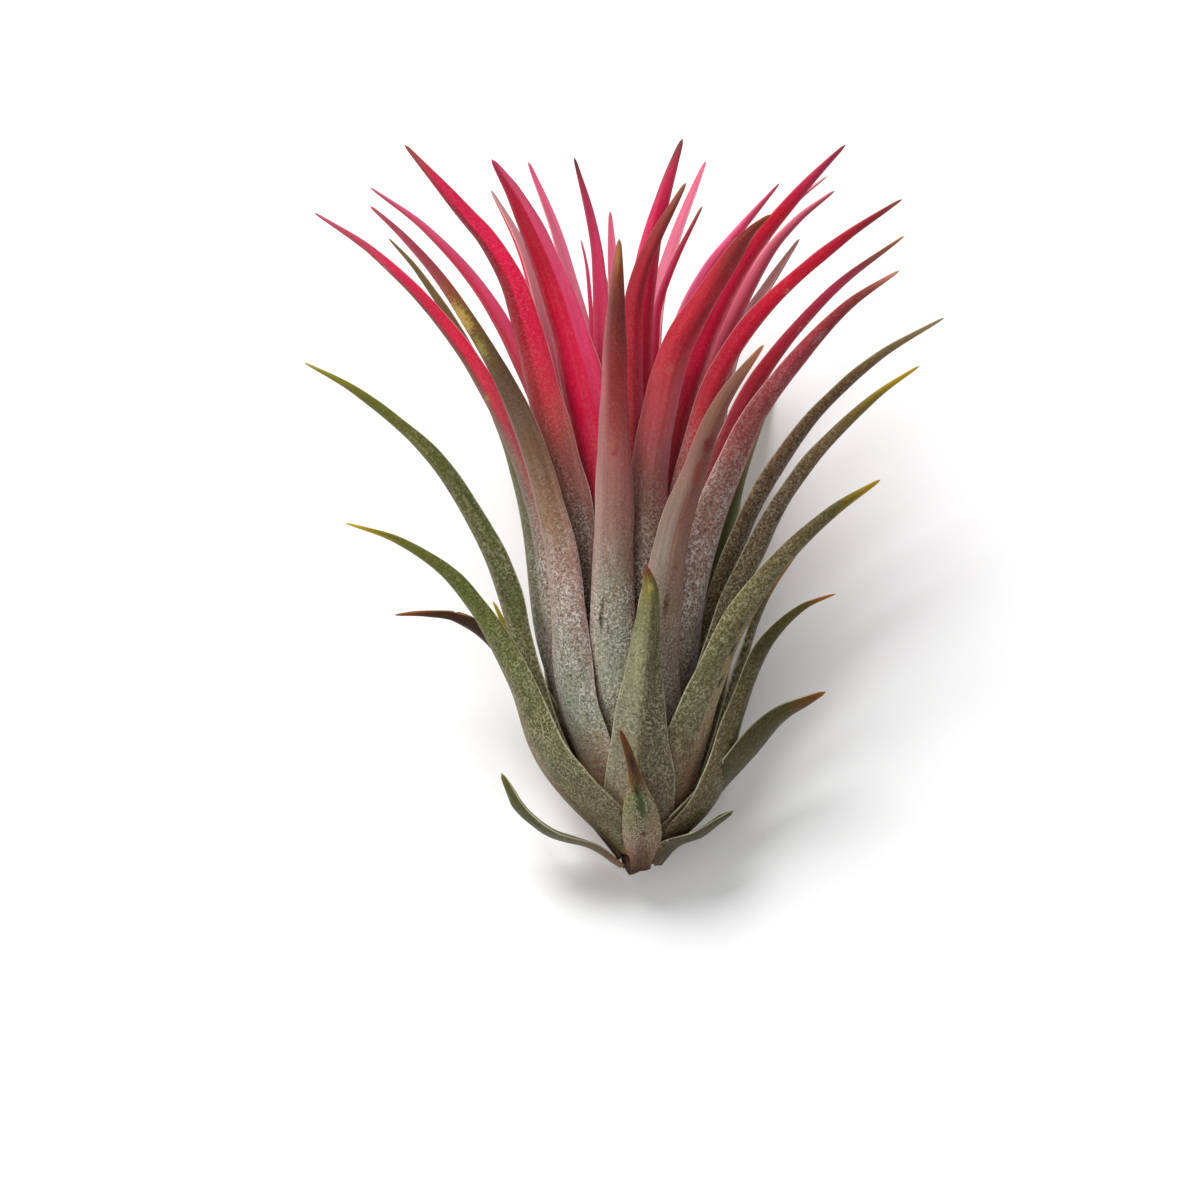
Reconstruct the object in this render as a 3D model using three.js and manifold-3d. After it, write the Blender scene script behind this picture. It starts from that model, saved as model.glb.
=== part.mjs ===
// Sky plant: an air plant with a blushed crown, picked and laid on its back. Millimetres, +Z up.
// In the plant's own frame X is to the viewer's right, Y runs up its axis from the foot of the
// stem and Z is towards the viewer. The plant then leans back until it lies on the surface.
import * as THREE from "three";
import { mergeVertices } from "three/addons/utils/BufferGeometryUtils.js";
import Module from "manifold-3d";

// Driving dimensions
const GAP = 0.3; // clearance between neighbouring pieces
const LIE_ANGLE = THREE.MathUtils.degToRad(20.5); // slope of the plant's axis as it lies
const SURFACE_BEHIND_FOOT = 5.2; // depth of the surface behind the foot, square to the axis
const FOOTPRINT_MIDDLE = { x: -2.5, y: 52.3 }; // moved to the origin, on the surface
const LEAF_THICKNESS = 1.3; // of a full-grown leaf, at its middle line
const ROOT_THICKNESS = 0.7; // of a leaf where it leaves the stem
const RING_STEP = 6.5; // spacing of the rings along a leaf
const CHANNEL_ANGLE = THREE.MathUtils.degToRad(48); // half the arc of a blade's hollow face
const CLASP = { from: 8, to: 38 }; // stretch over which a leaf turns from clasping to channelled
const FULLNESS = 1.3; // how long an ordinary leaf keeps its width before it tapers
const LOW_ROOT = 8; // leaves rooted below this height widen into a sheath at their base
const VIEWER = { x: -6, y: 41.25, distance: 700 }; // the eye's place above the plane of the axis

// Outline of the stem: radius and height
const STEM_SIDES = 18;
const STEM_OUTLINE = [
  [0, 0],
  [1.7, 0],
  [2.3, 1],
  [2.4, 3],
  [3.1, 7],
  [3.8, 12],
  [4, 18],
  [3.4, 25],
  [2, 31],
  [0, 34],
];

// Leaves. side: the way that the blade's back faces, in degrees from the viewer to the right.
// root: height of its root on the stem. width: of the blade at its widest.
// sheath: how much wider it is at its base, full: how long it keeps its width.
// path: points that its middle line passes through, the last one at its tip. X and Y are where the
// viewer sees the point against the plane of the axis, Z is how far it stands in front of it.
const LEAVES = {
  // low in front
  dry_leaf_front: {
    side: -6, root: 1, width: 4.6,
    path: [[0.3, 5, 6.4], [0, 9, 10.4], [-0.6, 14, 13.8], [-1.8, 18.6, 16.4], [-3, 21.8, 18.4]],
  },
  outer_leaf_01: {
    side: 3, root: 3, width: 7.8, full: 2.2,
    path: [
      [0, 8, 7.4], [0, 14, 11], [0.2, 26, 15.6], [0.9, 35, 17.8],
      [1.5, 43, 20], [0.8, 46.5, 21.2],
    ],
  },
  outer_leaf_02: {
    side: 32, root: 4.5, width: 6, full: 1.6, sheath: 1.5,
    path: [
      [4.8, 12, 7], [7.4, 20.3, 10], [9.9, 27.3, 12], [13.3, 35.1, 13.6],
      [16.7, 40.8, 14.6], [21.8, 47.6, 15.9], [28.9, 54.2, 17.1], [36.1, 59.3, 18],
    ],
  },
  outer_leaf_03: {
    side: -34, root: 3.5, width: 7.4, full: 0.74, sheath: 1.7,
    path: [
      [-5.8, 7.6, 4.8], [-10.8, 13.4, 7.4], [-14.4, 19.2, 9], [-17.7, 27.8, 9.8],
      [-21.3, 34.7, 10], [-24.8, 40.3, 10.4], [-29.2, 45.4, 10.8], [-36.5, 50.1, 11.4],
      [-44.3, 52.8, 12],
    ],
  },
  outer_leaf_04: {
    side: 50, root: 2.8, width: 6, sheath: 1.5,
    path: [
      [10.4, 11.5, 5.2], [14.5, 24.3, 7.4], [19.1, 34.7, 9], [24.5, 40.1, 9.8],
      [29.4, 42.2, 10.5],
    ],
  },
  outer_leaf_05: {
    side: 30, root: 1.8, width: 7.2, full: 2.6, sheath: 1.4,
    path: [[7.6, 8.1, 3.2], [14.9, 17.2, 4.4], [20.6, 23.7, 5.6], [27.9, 27.5, 7]],
  },
  outer_leaf_06: {
    side: 30, root: 1.6, width: 7.2,
    path: [[5.2, 4.5, 2.6], [9.6, 6.5, 4.2], [14, 9.7, 5.4]],
  },
  outer_leaf_12: {
    side: -60, root: 5.4, width: 4,
    path: [[-7, 14, -1.4], [-13.2, 26, -2.4], [-19.2, 35, -1.2], [-22.1, 41.1, 0.4]],
  },
  outer_leaf_07: {
    side: -30, root: 1.4, width: 6, full: 2,
    path: [[-7.4, 4.4, 1.6], [-13.8, 6.6, 2.6], [-18.3, 10.4, 3], [-20.8, 15.3, 3.6]],
  },
  dry_leaf_side: {
    side: -45, root: 2.4, width: 6.4, full: 1.6,
    path: [
      [-8.4, 10, -0.6], [-15, 22.8, -1.6], [-21.3, 34.2, -0.6], [-27.3, 38.5, 1.2],
      [-32, 39.2, 2.2], [-36.9, 39, 3],
    ],
  },
  // long, green to olive
  outer_leaf_08: {
    side: -50, root: 6.4, width: 6.2,
    path: [
      [-11.2, 17.5, 1.6], [-16.4, 29, 3.6], [-20.8, 43.8, 4.8], [-24.1, 51.4, 4.8],
      [-31.1, 62.5, 4.6], [-42.3, 72.2, 4.8], [-50.5, 76.9, 5],
    ],
  },
  outer_leaf_09: {
    side: 52, root: 6.5, width: 6,
    path: [
      [7.4, 17, 4.4], [10.6, 30, 7], [14.4, 41.2, 8], [17.8, 48.6, 8.4],
      [21.3, 55.6, 8.8], [26.9, 63.4, 9.2], [35.4, 71.7, 10], [42, 76.4, 11],
    ],
  },
  outer_leaf_10: {
    side: 60, root: 7, width: 5.6, full: 1.6,
    path: [
      [7.6, 19, 1.2], [10.2, 33, 2.8], [12.3, 41.3, 3.6], [16.1, 52.4, 4.4],
      [20.8, 61.1, 4.8], [26.5, 69.1, 5], [35.8, 77.6, 5.4], [45.7, 83.6, 6],
    ],
  },
  outer_leaf_11: {
    side: 75, root: 3.8, width: 5,
    path: [[9.4, 14, 0.8], [13.9, 28, 3], [16.4, 35.5, 4.4], [19, 41.9, 5.6], [24.2, 49.2, 7]],
  },
  // front of the crown
  middle_leaf_01: {
    side: -5, root: 10.5, width: 6.8, full: 1.6,
    path: [[-1.7, 18, 6.6], [-3.8, 29, 11.2], [-4, 56, 16.4], [-3.8, 79, 20.4], [-3.1, 95.5, 25.5]],
  },
  middle_leaf_02: {
    side: -32, root: 8, width: 6.8, full: 1, sheath: 1.25,
    path: [
      [-6.8, 16.5, 6], [-10, 27.8, 9.4], [-11.3, 39.5, 11.4], [-12.7, 50, 12],
      [-18.8, 70, 13.8], [-28.5, 87.1, 17], [-34.7, 94.8, 19], [-40.6, 100.4, 21],
    ],
  },
  middle_leaf_03: {
    side: 18, root: 7, width: 7.8, full: 1.15,
    path: [
      [1.9, 18, 8.2], [2.3, 30, 12], [5.2, 50.3, 16.6], [8, 59.3, 19],
      [12, 70, 22.6], [18.6, 79.6, 27],
    ],
  },
  middle_leaf_04: {
    side: 38, root: 11, width: 6.8, full: 1.4,
    path: [
      [4.4, 21, 6], [5.9, 30, 8.4], [7.8, 41.3, 11], [11.6, 54.8, 12.8],
      [14.7, 62.4, 13.4], [17.7, 69, 13.8], [23.7, 77.1, 14.6], [31.2, 85.2, 15.6],
      [39, 90.7, 17],
    ],
  },
  middle_leaf_05: {
    side: 12, root: 12.5, width: 6, full: 2.8,
    path: [
      [1.2, 26, 7.8], [1.8, 47, 12.2], [1.6, 60, 13.2], [3.1, 69, 14.2],
      [5.2, 77.7, 15.6], [9, 84.8, 17.2], [13.9, 92.5, 19.6], [16.6, 96.4, 21.2],
      [19.6, 99.1, 22.5],
    ],
  },
  middle_leaf_06: {
    side: -52, root: 9.5, width: 6.8,
    path: [
      [-7.4, 20, 3], [-13, 38, 6.2], [-16.1, 56, 7], [-22.3, 71.2, 7.6],
      [-30.2, 83.3, 8.2], [-40.4, 93.5, 9.2], [-49, 99.4, 10],
    ],
  },
  middle_leaf_07: {
    side: -70, root: 9, width: 6,
    path: [
      [-10, 21, -1.6], [-14.7, 35, -1], [-17, 53, -0.6], [-20.4, 66, -1],
      [-26.2, 79.2, -2], [-33.3, 90.4, -3.2], [-37.8, 95.6, -4],
    ],
  },
  middle_leaf_08: {
    side: 48, root: 12.5, width: 5.6,
    path: [
      [4.8, 23, 3.8], [7.8, 42, 7.2], [10.7, 57, 8.6], [15.4, 69.6, 9.2],
      [20.4, 77.7, 9.6], [28.9, 87.5, 10.6], [39.7, 95.9, 12],
    ],
  },
  middle_leaf_09: {
    side: 58, root: 10.5, width: 4.8,
    path: [
      [6.8, 23, -1.4], [11, 42, -1.2], [14.2, 55, -1], [16, 61.5, -1],
      [18.2, 67.6, -1.4], [19.9, 71.6, -1.6],
    ],
  },
  middle_leaf_10: {
    side: -34, root: 13.5, width: 8.8, full: 1.25,
    path: [
      [-5.2, 25, 5], [-9.2, 42, 7.4], [-12.2, 60, 8.8], [-15, 72, 10.2],
      [-17.9, 83.6, 11.6], [-19.9, 89.4, 12.5], [-23.2, 95.1, 13.4], [-26.5, 99.1, 14.1],
      [-35.4, 109.6, 17],
    ],
  },
  middle_leaf_11: {
    side: 34, root: 15, width: 4.9, full: 1.8,
    path: [
      [3.4, 27, 4.7], [5.2, 47, 8.2], [8.5, 64, 10.2], [12.2, 75.4, 11.8],
      [18.7, 84.8, 13.2], [30.3, 95.1, 14.8], [39.4, 101.4, 16],
    ],
  },
  middle_leaf_12: {
    side: 4, root: 16, width: 5.2, full: 1.6,
    path: [
      [-0.6, 30, 6.8], [-1.1, 48, 9.4], [-1.3, 66, 11], [-1.2, 78, 12.4],
      [-1, 84.8, 13.4], [0.2, 90.6, 14.6], [2.2, 95.2, 15.8], [6.9, 103.9, 18],
    ],
  },
  // inside the crown
  inner_leaf_01: {
    side: -25, root: 18, width: 8.2, full: 2.4,
    path: [
      [-3, 30, 4.2], [-4.6, 44, 5.8], [-7, 63, 7], [-12.5, 86, 9.6],
      [-18.7, 101.4, 12.3], [-22.3, 107.4, 13.5],
    ],
  },
  inner_leaf_02: {
    side: -52, root: 16, width: 5.8,
    path: [
      [-5.2, 28, 1.8], [-8.8, 44, 3.6], [-13.2, 64.5, 5], [-23, 86, 7.4],
      [-31.8, 96.4, 9], [-40.6, 103.2, 10.5],
    ],
  },
  inner_leaf_03: {
    side: 48, root: 18.5, width: 6.2, full: 2.1,
    path: [
      [3, 32, 3.2], [4.2, 50, 4.8], [7.3, 71, 6.8], [14.6, 89.6, 9],
      [23.7, 101.8, 10.6], [30.9, 109.6, 12],
    ],
  },
  inner_leaf_04: {
    side: 56, root: 15.5, width: 6.4, full: 1.6,
    path: [
      [5.1, 28, 1.2], [7.2, 49, 2], [11.2, 75, 2.6], [18.7, 92, 3.2],
      [23.5, 98, 3.6], [29.3, 102.7, 4],
    ],
  },
  inner_leaf_05: {
    side: 14, root: 21, width: 5, full: 2.4,
    path: [
      [0.3, 34, 3.2], [-0.2, 54, 5.6], [-0.2, 72, 7.4], [0.4, 84.8, 9],
      [1.7, 94.5, 10.6], [4, 103.1, 12.2], [6.4, 110.5, 13.5],
    ],
  },
  inner_leaf_06: {
    side: 58, root: 22, width: 4,
    path: [
      [1.9, 35, 1.7], [1.8, 52, 2.6], [1.9, 66, 3.4], [2.3, 77.7, 4.2],
      [2.8, 84.8, 4.8], [4.9, 91.1, 5.6], [9.4, 100.4, 7],
    ],
  },
  inner_leaf_07: {
    side: -45, root: 22, width: 5.5,
    path: [[-2, 35, 1.8], [-3.4, 52, 2.8], [-5.6, 74, 3.6], [-6.9, 95, 5], [-9.9, 107.7, 7]],
  },
  inner_leaf_08: {
    side: -75, root: 22, width: 3,
    path: [[-3.5, 35, -0.6], [-5.2, 54, -1], [-6.9, 76, -1], [-8, 91, -1.4], [-8.9, 95.4, -1.8]],
  },
  inner_leaf_09: {
    side: 66, root: 20.5, width: 6.4, full: 1.5,
    path: [
      [4.3, 33, -0.4], [4.8, 52, -0.6], [5, 70, -1], [6.3, 82, -1.4],
      [9.9, 90, -2], [13.8, 95.2, -2.6], [21, 103.8, -3.4],
    ],
  },
  inner_leaf_10: {
    side: 150, root: 22, width: 5.2,
    path: [
      [1.6, 35, -2.6], [1.5, 54, -4], [1.7, 72, -5.4], [2.7, 86, -7],
      [5.7, 96.3, -8.6], [8.3, 103.1, -10], [9.9, 107.1, -11],
    ],
  },
  inner_leaf_11: {
    side: 180, root: 24, width: 4.4,
    path: [[-0.2, 36, -2], [-1.2, 54, -3], [-3.3, 76, -5], [-4, 90, -7], [-4.5, 99.6, -9]],
  },
  inner_leaf_12: {
    side: -150, root: 21, width: 5,
    path: [
      [-2.4, 34, -2.9], [-4.4, 54, -4.6], [-8.4, 80, -7], [-12.6, 96, -9],
      [-16.8, 107, -11.5],
    ],
  },
  inner_leaf_13: {
    side: -125, root: 18, width: 7.4,
    path: [
      [-4.6, 31, -2.2], [-7.7, 52, -3], [-13.2, 76, -5], [-17.7, 93.3, -7.6],
      [-22.4, 102.8, -9.6],
    ],
  },
  inner_leaf_14: {
    side: 118, root: 15.5, width: 5,
    path: [
      [5.4, 28, -2.5], [7.4, 50, -3.4], [11.6, 77, -5.4], [19, 95.3, -8],
      [23.5, 101, -9.2], [28.2, 104.9, -10.2],
    ],
  },
  inner_leaf_15: {
    side: 140, root: 9.5, width: 6,
    path: [
      [7.4, 25, -4.2], [9.6, 49, -6], [12.7, 73, -8], [16, 83, -9.6],
      [19.6, 88.8, -10.8], [24, 95.5, -12.5],
    ],
  },
  // behind, out of the viewer's sight; the first three carry the plant where it lies
  back_leaf_01: {
    side: 180, root: 5, width: 7.4,
    path: [
      [0.3, 10, -7.6], [0.5, 17, -10.95], [0.5, 25, -13.4], [-1, 50, -17.5],
      [-3, 75, -25], [-6, 92, -34],
    ],
  },
  back_leaf_02: {
    side: -150, root: 5.5, width: 6.4,
    path: [
      [-4.8, 15, -6.8], [-9, 31, -11.2], [-12.6, 48, -16.4], [-16.4, 63, -24],
      [-21.6, 76.5, -34.6],
    ],
  },
  back_leaf_03: {
    side: 150, root: 6.5, width: 6.4,
    path: [
      [5.2, 17, -6.8], [9.2, 33, -11.2], [11.8, 49, -16.4], [15.2, 62.5, -24],
      [20.6, 75.2, -34],
    ],
  },
  back_leaf_04: {
    side: -162, root: 3, width: 6.8,
    path: [[-4.8, 10.5, -7.5], [-7.4, 24, -12.3], [-8.2, 35, -16.4], [-8.4, 44, -20.6]],
  },
  back_leaf_05: {
    side: 160, root: 3, width: 6.6,
    path: [[5.4, 11.5, -7.6], [8.8, 25, -12.2], [10.8, 37, -15.8], [12.4, 47, -19.6]],
  },
  back_leaf_06: {
    side: -122, root: 4, width: 6,
    path: [[-8.2, 14, -3.8], [-13, 29, -6.4], [-14.4, 45, -8.2], [-17.6, 61, -12], [-22, 74, -18]],
  },
  back_leaf_07: {
    side: 122, root: 3.6, width: 6,
    path: [
      [8.4, 16, -4.6], [12.6, 32, -7.4], [13.4, 46, -9.2], [14.8, 58.5, -12.2],
      [18.4, 71, -17.6],
    ],
  },
  back_leaf_08: {
    side: -165, root: 8.5, width: 6,
    path: [
      [-2.8, 20, -8.2], [-4.6, 38, -12.2], [-6.6, 58, -15.2], [-10, 80, -20.5],
      [-15, 96, -28],
    ],
  },
  back_leaf_09: {
    side: 168, root: 9.5, width: 6,
    path: [[2.4, 22, -8], [3.8, 42, -12], [5.4, 62, -14.8], [9, 81, -19.5], [14.5, 93, -25.5]],
  },
  back_leaf_10: {
    side: -135, root: 10.5, width: 5.8,
    path: [
      [-6.2, 23, -4.8], [-9.6, 42, -8], [-12.4, 61, -10.4], [-16.2, 76, -14],
      [-19.6, 86, -18.5],
    ],
  },
  back_leaf_11: {
    side: 142, root: 11.5, width: 5.4,
    path: [[4.6, 23, -4.8], [7.4, 43, -7.6], [9.8, 63, -11], [13.2, 76, -14.8], [18, 86, -19]],
  },
  back_leaf_12: {
    side: 178, root: 14.5, width: 5,
    path: [[-0.2, 27, -5.2], [-0.6, 46, -8], [-0.6, 66, -10.6], [0.6, 88, -15], [2.6, 100, -19]],
  },
  back_leaf_13: {
    side: -155, root: 13.5, width: 5.2,
    path: [
      [-3.6, 27, -5.6], [-5.8, 47, -8], [-7.6, 68, -10.2], [-9.8, 83, -12.6],
      [-12.2, 93, -15.6],
    ],
  },
  back_leaf_14: {
    side: 155, root: 17, width: 4.8,
    path: [[2.2, 30, -4], [4.2, 49, -6.2], [6.6, 70, -9.2], [9.6, 83, -12.4], [12.8, 92.5, -15.6]],
  },
};

const toRadians = THREE.MathUtils.degToRad;
const mix = THREE.MathUtils.lerp;
const smoothstep = THREE.MathUtils.smoothstep;
const UP_THE_AXIS = new THREE.Vector3(0, 1, 0);

function stemRadius(height) {
  const above = STEM_OUTLINE.findIndex(([, y]) => y > height);
  const [r0, y0] = STEM_OUTLINE[above - 1];
  const [r1, y1] = STEM_OUTLINE[above];
  return mix(r0, r1, (height - y0) / (y1 - y0));
}

// The middle line of a leaf, from its seat on the stem to its tip
function middleLine(leaf) {
  const points = leaf.path.map(([x, y, z]) => {
    const nearer = 1 - z / VIEWER.distance;
    return new THREE.Vector3(mix(VIEWER.x, x, nearer), mix(VIEWER.y, y, nearer), z);
  });
  const way = Math.atan2(points[0].x, points[0].z);
  const reach = stemRadius(leaf.root) + GAP + ROOT_THICKNESS / 2;
  points.unshift(new THREE.Vector3(reach * Math.sin(way), leaf.root, reach * Math.cos(way)));
  return new THREE.CatmullRomCurve3(points, false, "centripetal");
}

// Share of its widest that a leaf has at this share of its length
function taper(along, fullness = FULLNESS) {
  const past = Math.max(0, (along - 0.25) / 0.75);
  return (1 - past ** fullness) ** 0.8;
}

// Section frame of a leaf: its place, sideways and inward directions, half width, and the radius
// of its hollow face, which follows the axis low down and is its own in the blade
function station(leaf, curve, length, along) {
  const place = curve.getPointAt(along);
  const forward = curve.getTangentAt(along);
  const distance = along * length;
  const radial = Math.hypot(place.x, place.z);
  const free = smoothstep(distance, CLASP.from, CLASP.to);
  const side = toRadians(leaf.side);
  const faceX = mix(place.x / radial, Math.sin(side), free);
  const faceZ = mix(place.z / radial, Math.cos(side), free);
  const across = UP_THE_AXIS.clone().cross(new THREE.Vector3(faceX, 0, faceZ));
  across.addScaledVector(forward, -across.dot(forward)).normalize();
  const inward = forward.clone().cross(across);
  const growth = mix(0.5, 1, smoothstep(distance, 0, 6 + 0.7 * leaf.root));
  const sheath = mix(leaf.sheath ?? (leaf.root < LOW_ROOT ? 1.3 : 1), 1, smoothstep(distance, 8, 34));
  const half = (leaf.width / 2) * taper(along, leaf.full) * growth * sheath;
  const clasping = radial / Math.max(0.35, forward.y);
  const channelled = half / Math.sin(CHANNEL_ANGLE);
  const radius = Math.max(mix(clasping, channelled, free), half / 0.95);
  const thickness = mix(ROOT_THICKNESS, LEAF_THICKNESS, smoothstep(distance, 0, 14));
  const depth = Math.min(thickness, Math.max(0.2, half * 0.8));
  return { place, across, inward, half, radius, depth };
}

// Points of a section, from edge to edge
const STOPS = [-1, -0.55, 0, 0.55, 1];

function sectionPoint(frame, stop, outward, grow) {
  const arc = stop * (Math.asin(Math.min(0.95, frame.half / frame.radius)) + grow / frame.radius);
  const halfDepth = (frame.depth / 2) * (1 - stop ** 2) ** 0.7 + grow;
  const radius = frame.radius + outward * halfDepth;
  return frame.place
    .clone()
    .addScaledVector(frame.across, radius * Math.sin(arc))
    .addScaledVector(frame.inward, frame.radius - radius * Math.cos(arc));
}

// A leaf, or the room that it takes up with a clearance all round: its two faces meet at the
// edges, those of the room stay apart
function leafGeometry(leaf, grow = 0) {
  const innerStops = (grow > 0 ? STOPS : STOPS.slice(1, -1)).toReversed();
  const count = STOPS.length + innerStops.length;
  const edge = STOPS.length - 1;
  const curve = middleLine(leaf);
  const length = curve.getLength();
  const rings = Math.round(length / RING_STEP);
  const vertices = [];
  for (let ring = 0; ring < rings; ring += 1) {
    const frame = station(leaf, curve, length, ring / rings);
    if (ring === 0) frame.place.addScaledVector(curve.getTangentAt(0), -grow);
    STOPS.forEach((stop) => vertices.push(sectionPoint(frame, stop, 1, grow)));
    innerStops.forEach((stop) => vertices.push(sectionPoint(frame, stop, -1, grow)));
  }
  const tip = curve.getPointAt(1).addScaledVector(curve.getTangentAt(1), grow);
  vertices.push(tip);
  const faces = [];
  for (let ring = 0; ring < rings - 1; ring += 1) {
    for (let i = 0; i < count; i += 1) {
      const a = ring * count + i;
      const b = ring * count + ((i + 1) % count);
      faces.push(a, b, b + count, a, b + count, a + count);
    }
  }
  const last = (rings - 1) * count;
  for (let i = 0; i < count; i += 1) {
    faces.push(last + i, last + ((i + 1) % count), vertices.length - 1);
  }
  // the root is closed by strips between its two faces
  const below = (i) => (grow === 0 && i % edge === 0 ? i : count - i - (grow > 0 ? 1 : 0));
  for (let i = 0; i < edge; i += 1) {
    if (below(i) !== i) faces.push(i, below(i), below(i + 1));
    if (below(i + 1) !== i + 1) faces.push(i, below(i + 1), i + 1);
  }
  const geometry = new THREE.BufferGeometry();
  const numbers = vertices.flatMap((point) => point.toArray());
  geometry.setAttribute("position", new THREE.Float32BufferAttribute(numbers, 3));
  geometry.setIndex(faces);
  return geometry;
}

function stemGeometry() {
  const profile = STEM_OUTLINE.map(([radius, height]) => new THREE.Vector2(radius, height));
  return new THREE.LatheGeometry(profile, STEM_SIDES);
}

// Joining and cutting
const wasm = await Module();
wasm.setup();

function toSolid(geometry) {
  const bare = geometry.clone();
  bare.deleteAttribute("normal");
  bare.deleteAttribute("uv");
  const merged = mergeVertices(bare, 1e-4);
  const vertProperties = Float32Array.from(merged.attributes.position.array);
  const triVerts = Uint32Array.from(merged.index.array);
  return new wasm.Manifold(new wasm.Mesh({ numProp: 3, vertProperties, triVerts }));
}

function toGeometry(solid) {
  const { vertProperties, triVerts } = solid.getMesh();
  const geometry = new THREE.BufferGeometry();
  geometry.setAttribute("position", new THREE.BufferAttribute(vertProperties, 3));
  geometry.setIndex(new THREE.BufferAttribute(triVerts, 1));
  return geometry;
}

function largestPiece(solid) {
  const pieces = solid.decompose();
  return pieces.reduce((best, piece) => (piece.volume() > best.volume() ? piece : best));
}

// From the plant's own frame to the way it lies, with the middle of its footprint at the origin
const lie = new THREE.Matrix4()
  .makeTranslation(-FOOTPRINT_MIDDLE.x, -FOOTPRINT_MIDDLE.y, SURFACE_BEHIND_FOOT * Math.cos(LIE_ANGLE))
  .multiply(new THREE.Matrix4().makeRotationX(LIE_ANGLE));

// The surface, as a slab below it: what presses on it is flattened
const SLAB = 200;
const slab = toSolid(new THREE.BoxGeometry(SLAB, SLAB, SLAB).translate(0, 0, -SLAB / 2));

const MATERIALS = {
  stem: { color: 0x5a4634, roughness: 0.9 },
  dry: { color: 0x8a5f3a, roughness: 0.85 },
  outer: { color: 0x7d8a62, roughness: 0.8 },
  middle: { color: 0x97766c, roughness: 0.75 },
  inner: { color: 0xc4324f, roughness: 0.6 },
  back: { color: 0x8b8770, roughness: 0.8 },
};

const plant = new THREE.Group();

function addPiece(name, solid) {
  const look = MATERIALS[name.split("_")[0]];
  const mesh = new THREE.Mesh(toGeometry(solid), new THREE.MeshStandardMaterial({ ...look, metalness: 0 }));
  mesh.name = name;
  plant.add(mesh);
}

function keepClear(solid, other) {
  return solid.subtract(toSolid(leafGeometry(other.leaf, GAP).applyMatrix4(lie)));
}

const placed = [];
const stemSolid = toSolid(stemGeometry().applyMatrix4(lie));
addPiece("stem", stemSolid);

// A leaf that would cross one placed before it is pressed in there, and keeps clear of it
for (const [name, leaf] of Object.entries(LEAVES)) {
  let solid = toSolid(leafGeometry(leaf).applyMatrix4(lie));
  const crossed = placed.filter((other) => other.solid.intersect(solid).volume() > 0);
  solid = crossed.reduce(keepClear, solid);
  solid = largestPiece(solid.subtract(slab));
  placed.push({ leaf, solid });
  addPiece(name, solid);
}

export default plant;
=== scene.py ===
import math

import bpy
import mathutils
import mathutils.bvhtree
import numpy as np
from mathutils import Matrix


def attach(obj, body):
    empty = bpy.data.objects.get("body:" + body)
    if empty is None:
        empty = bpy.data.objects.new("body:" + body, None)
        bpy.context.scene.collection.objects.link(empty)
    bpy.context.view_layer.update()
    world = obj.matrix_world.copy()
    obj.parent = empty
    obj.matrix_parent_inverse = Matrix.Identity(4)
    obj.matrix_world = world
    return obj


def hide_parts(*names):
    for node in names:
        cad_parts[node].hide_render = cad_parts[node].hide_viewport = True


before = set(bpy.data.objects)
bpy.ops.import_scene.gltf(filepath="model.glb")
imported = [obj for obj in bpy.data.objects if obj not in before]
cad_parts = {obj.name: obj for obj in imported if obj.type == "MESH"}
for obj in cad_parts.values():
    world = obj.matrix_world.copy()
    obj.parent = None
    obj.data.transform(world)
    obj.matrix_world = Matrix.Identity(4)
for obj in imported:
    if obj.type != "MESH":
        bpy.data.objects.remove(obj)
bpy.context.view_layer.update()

# Driving dimensions, as in the solids
GAP = 0.3
LIE_ANGLE = math.radians(20.5)
SURFACE_BEHIND_FOOT = 5.2
FOOTPRINT_MIDDLE = (-2.5, 52.3)
LEAF_THICKNESS = 1.3
ROOT_THICKNESS = 0.7
CHANNEL_ANGLE = math.radians(48)
CLASP = (8, 38)
FULLNESS = 1.3
LOW_ROOT = 8
VIEWER = (-6, 41.25, 700)
STEM_OUTLINE = [
    (0, 0), (1.7, 0), (2.3, 1), (2.4, 3), (3.1, 7), (3.8, 12), (4, 18), (3.4, 25), (2, 31), (0, 34),
]

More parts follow.
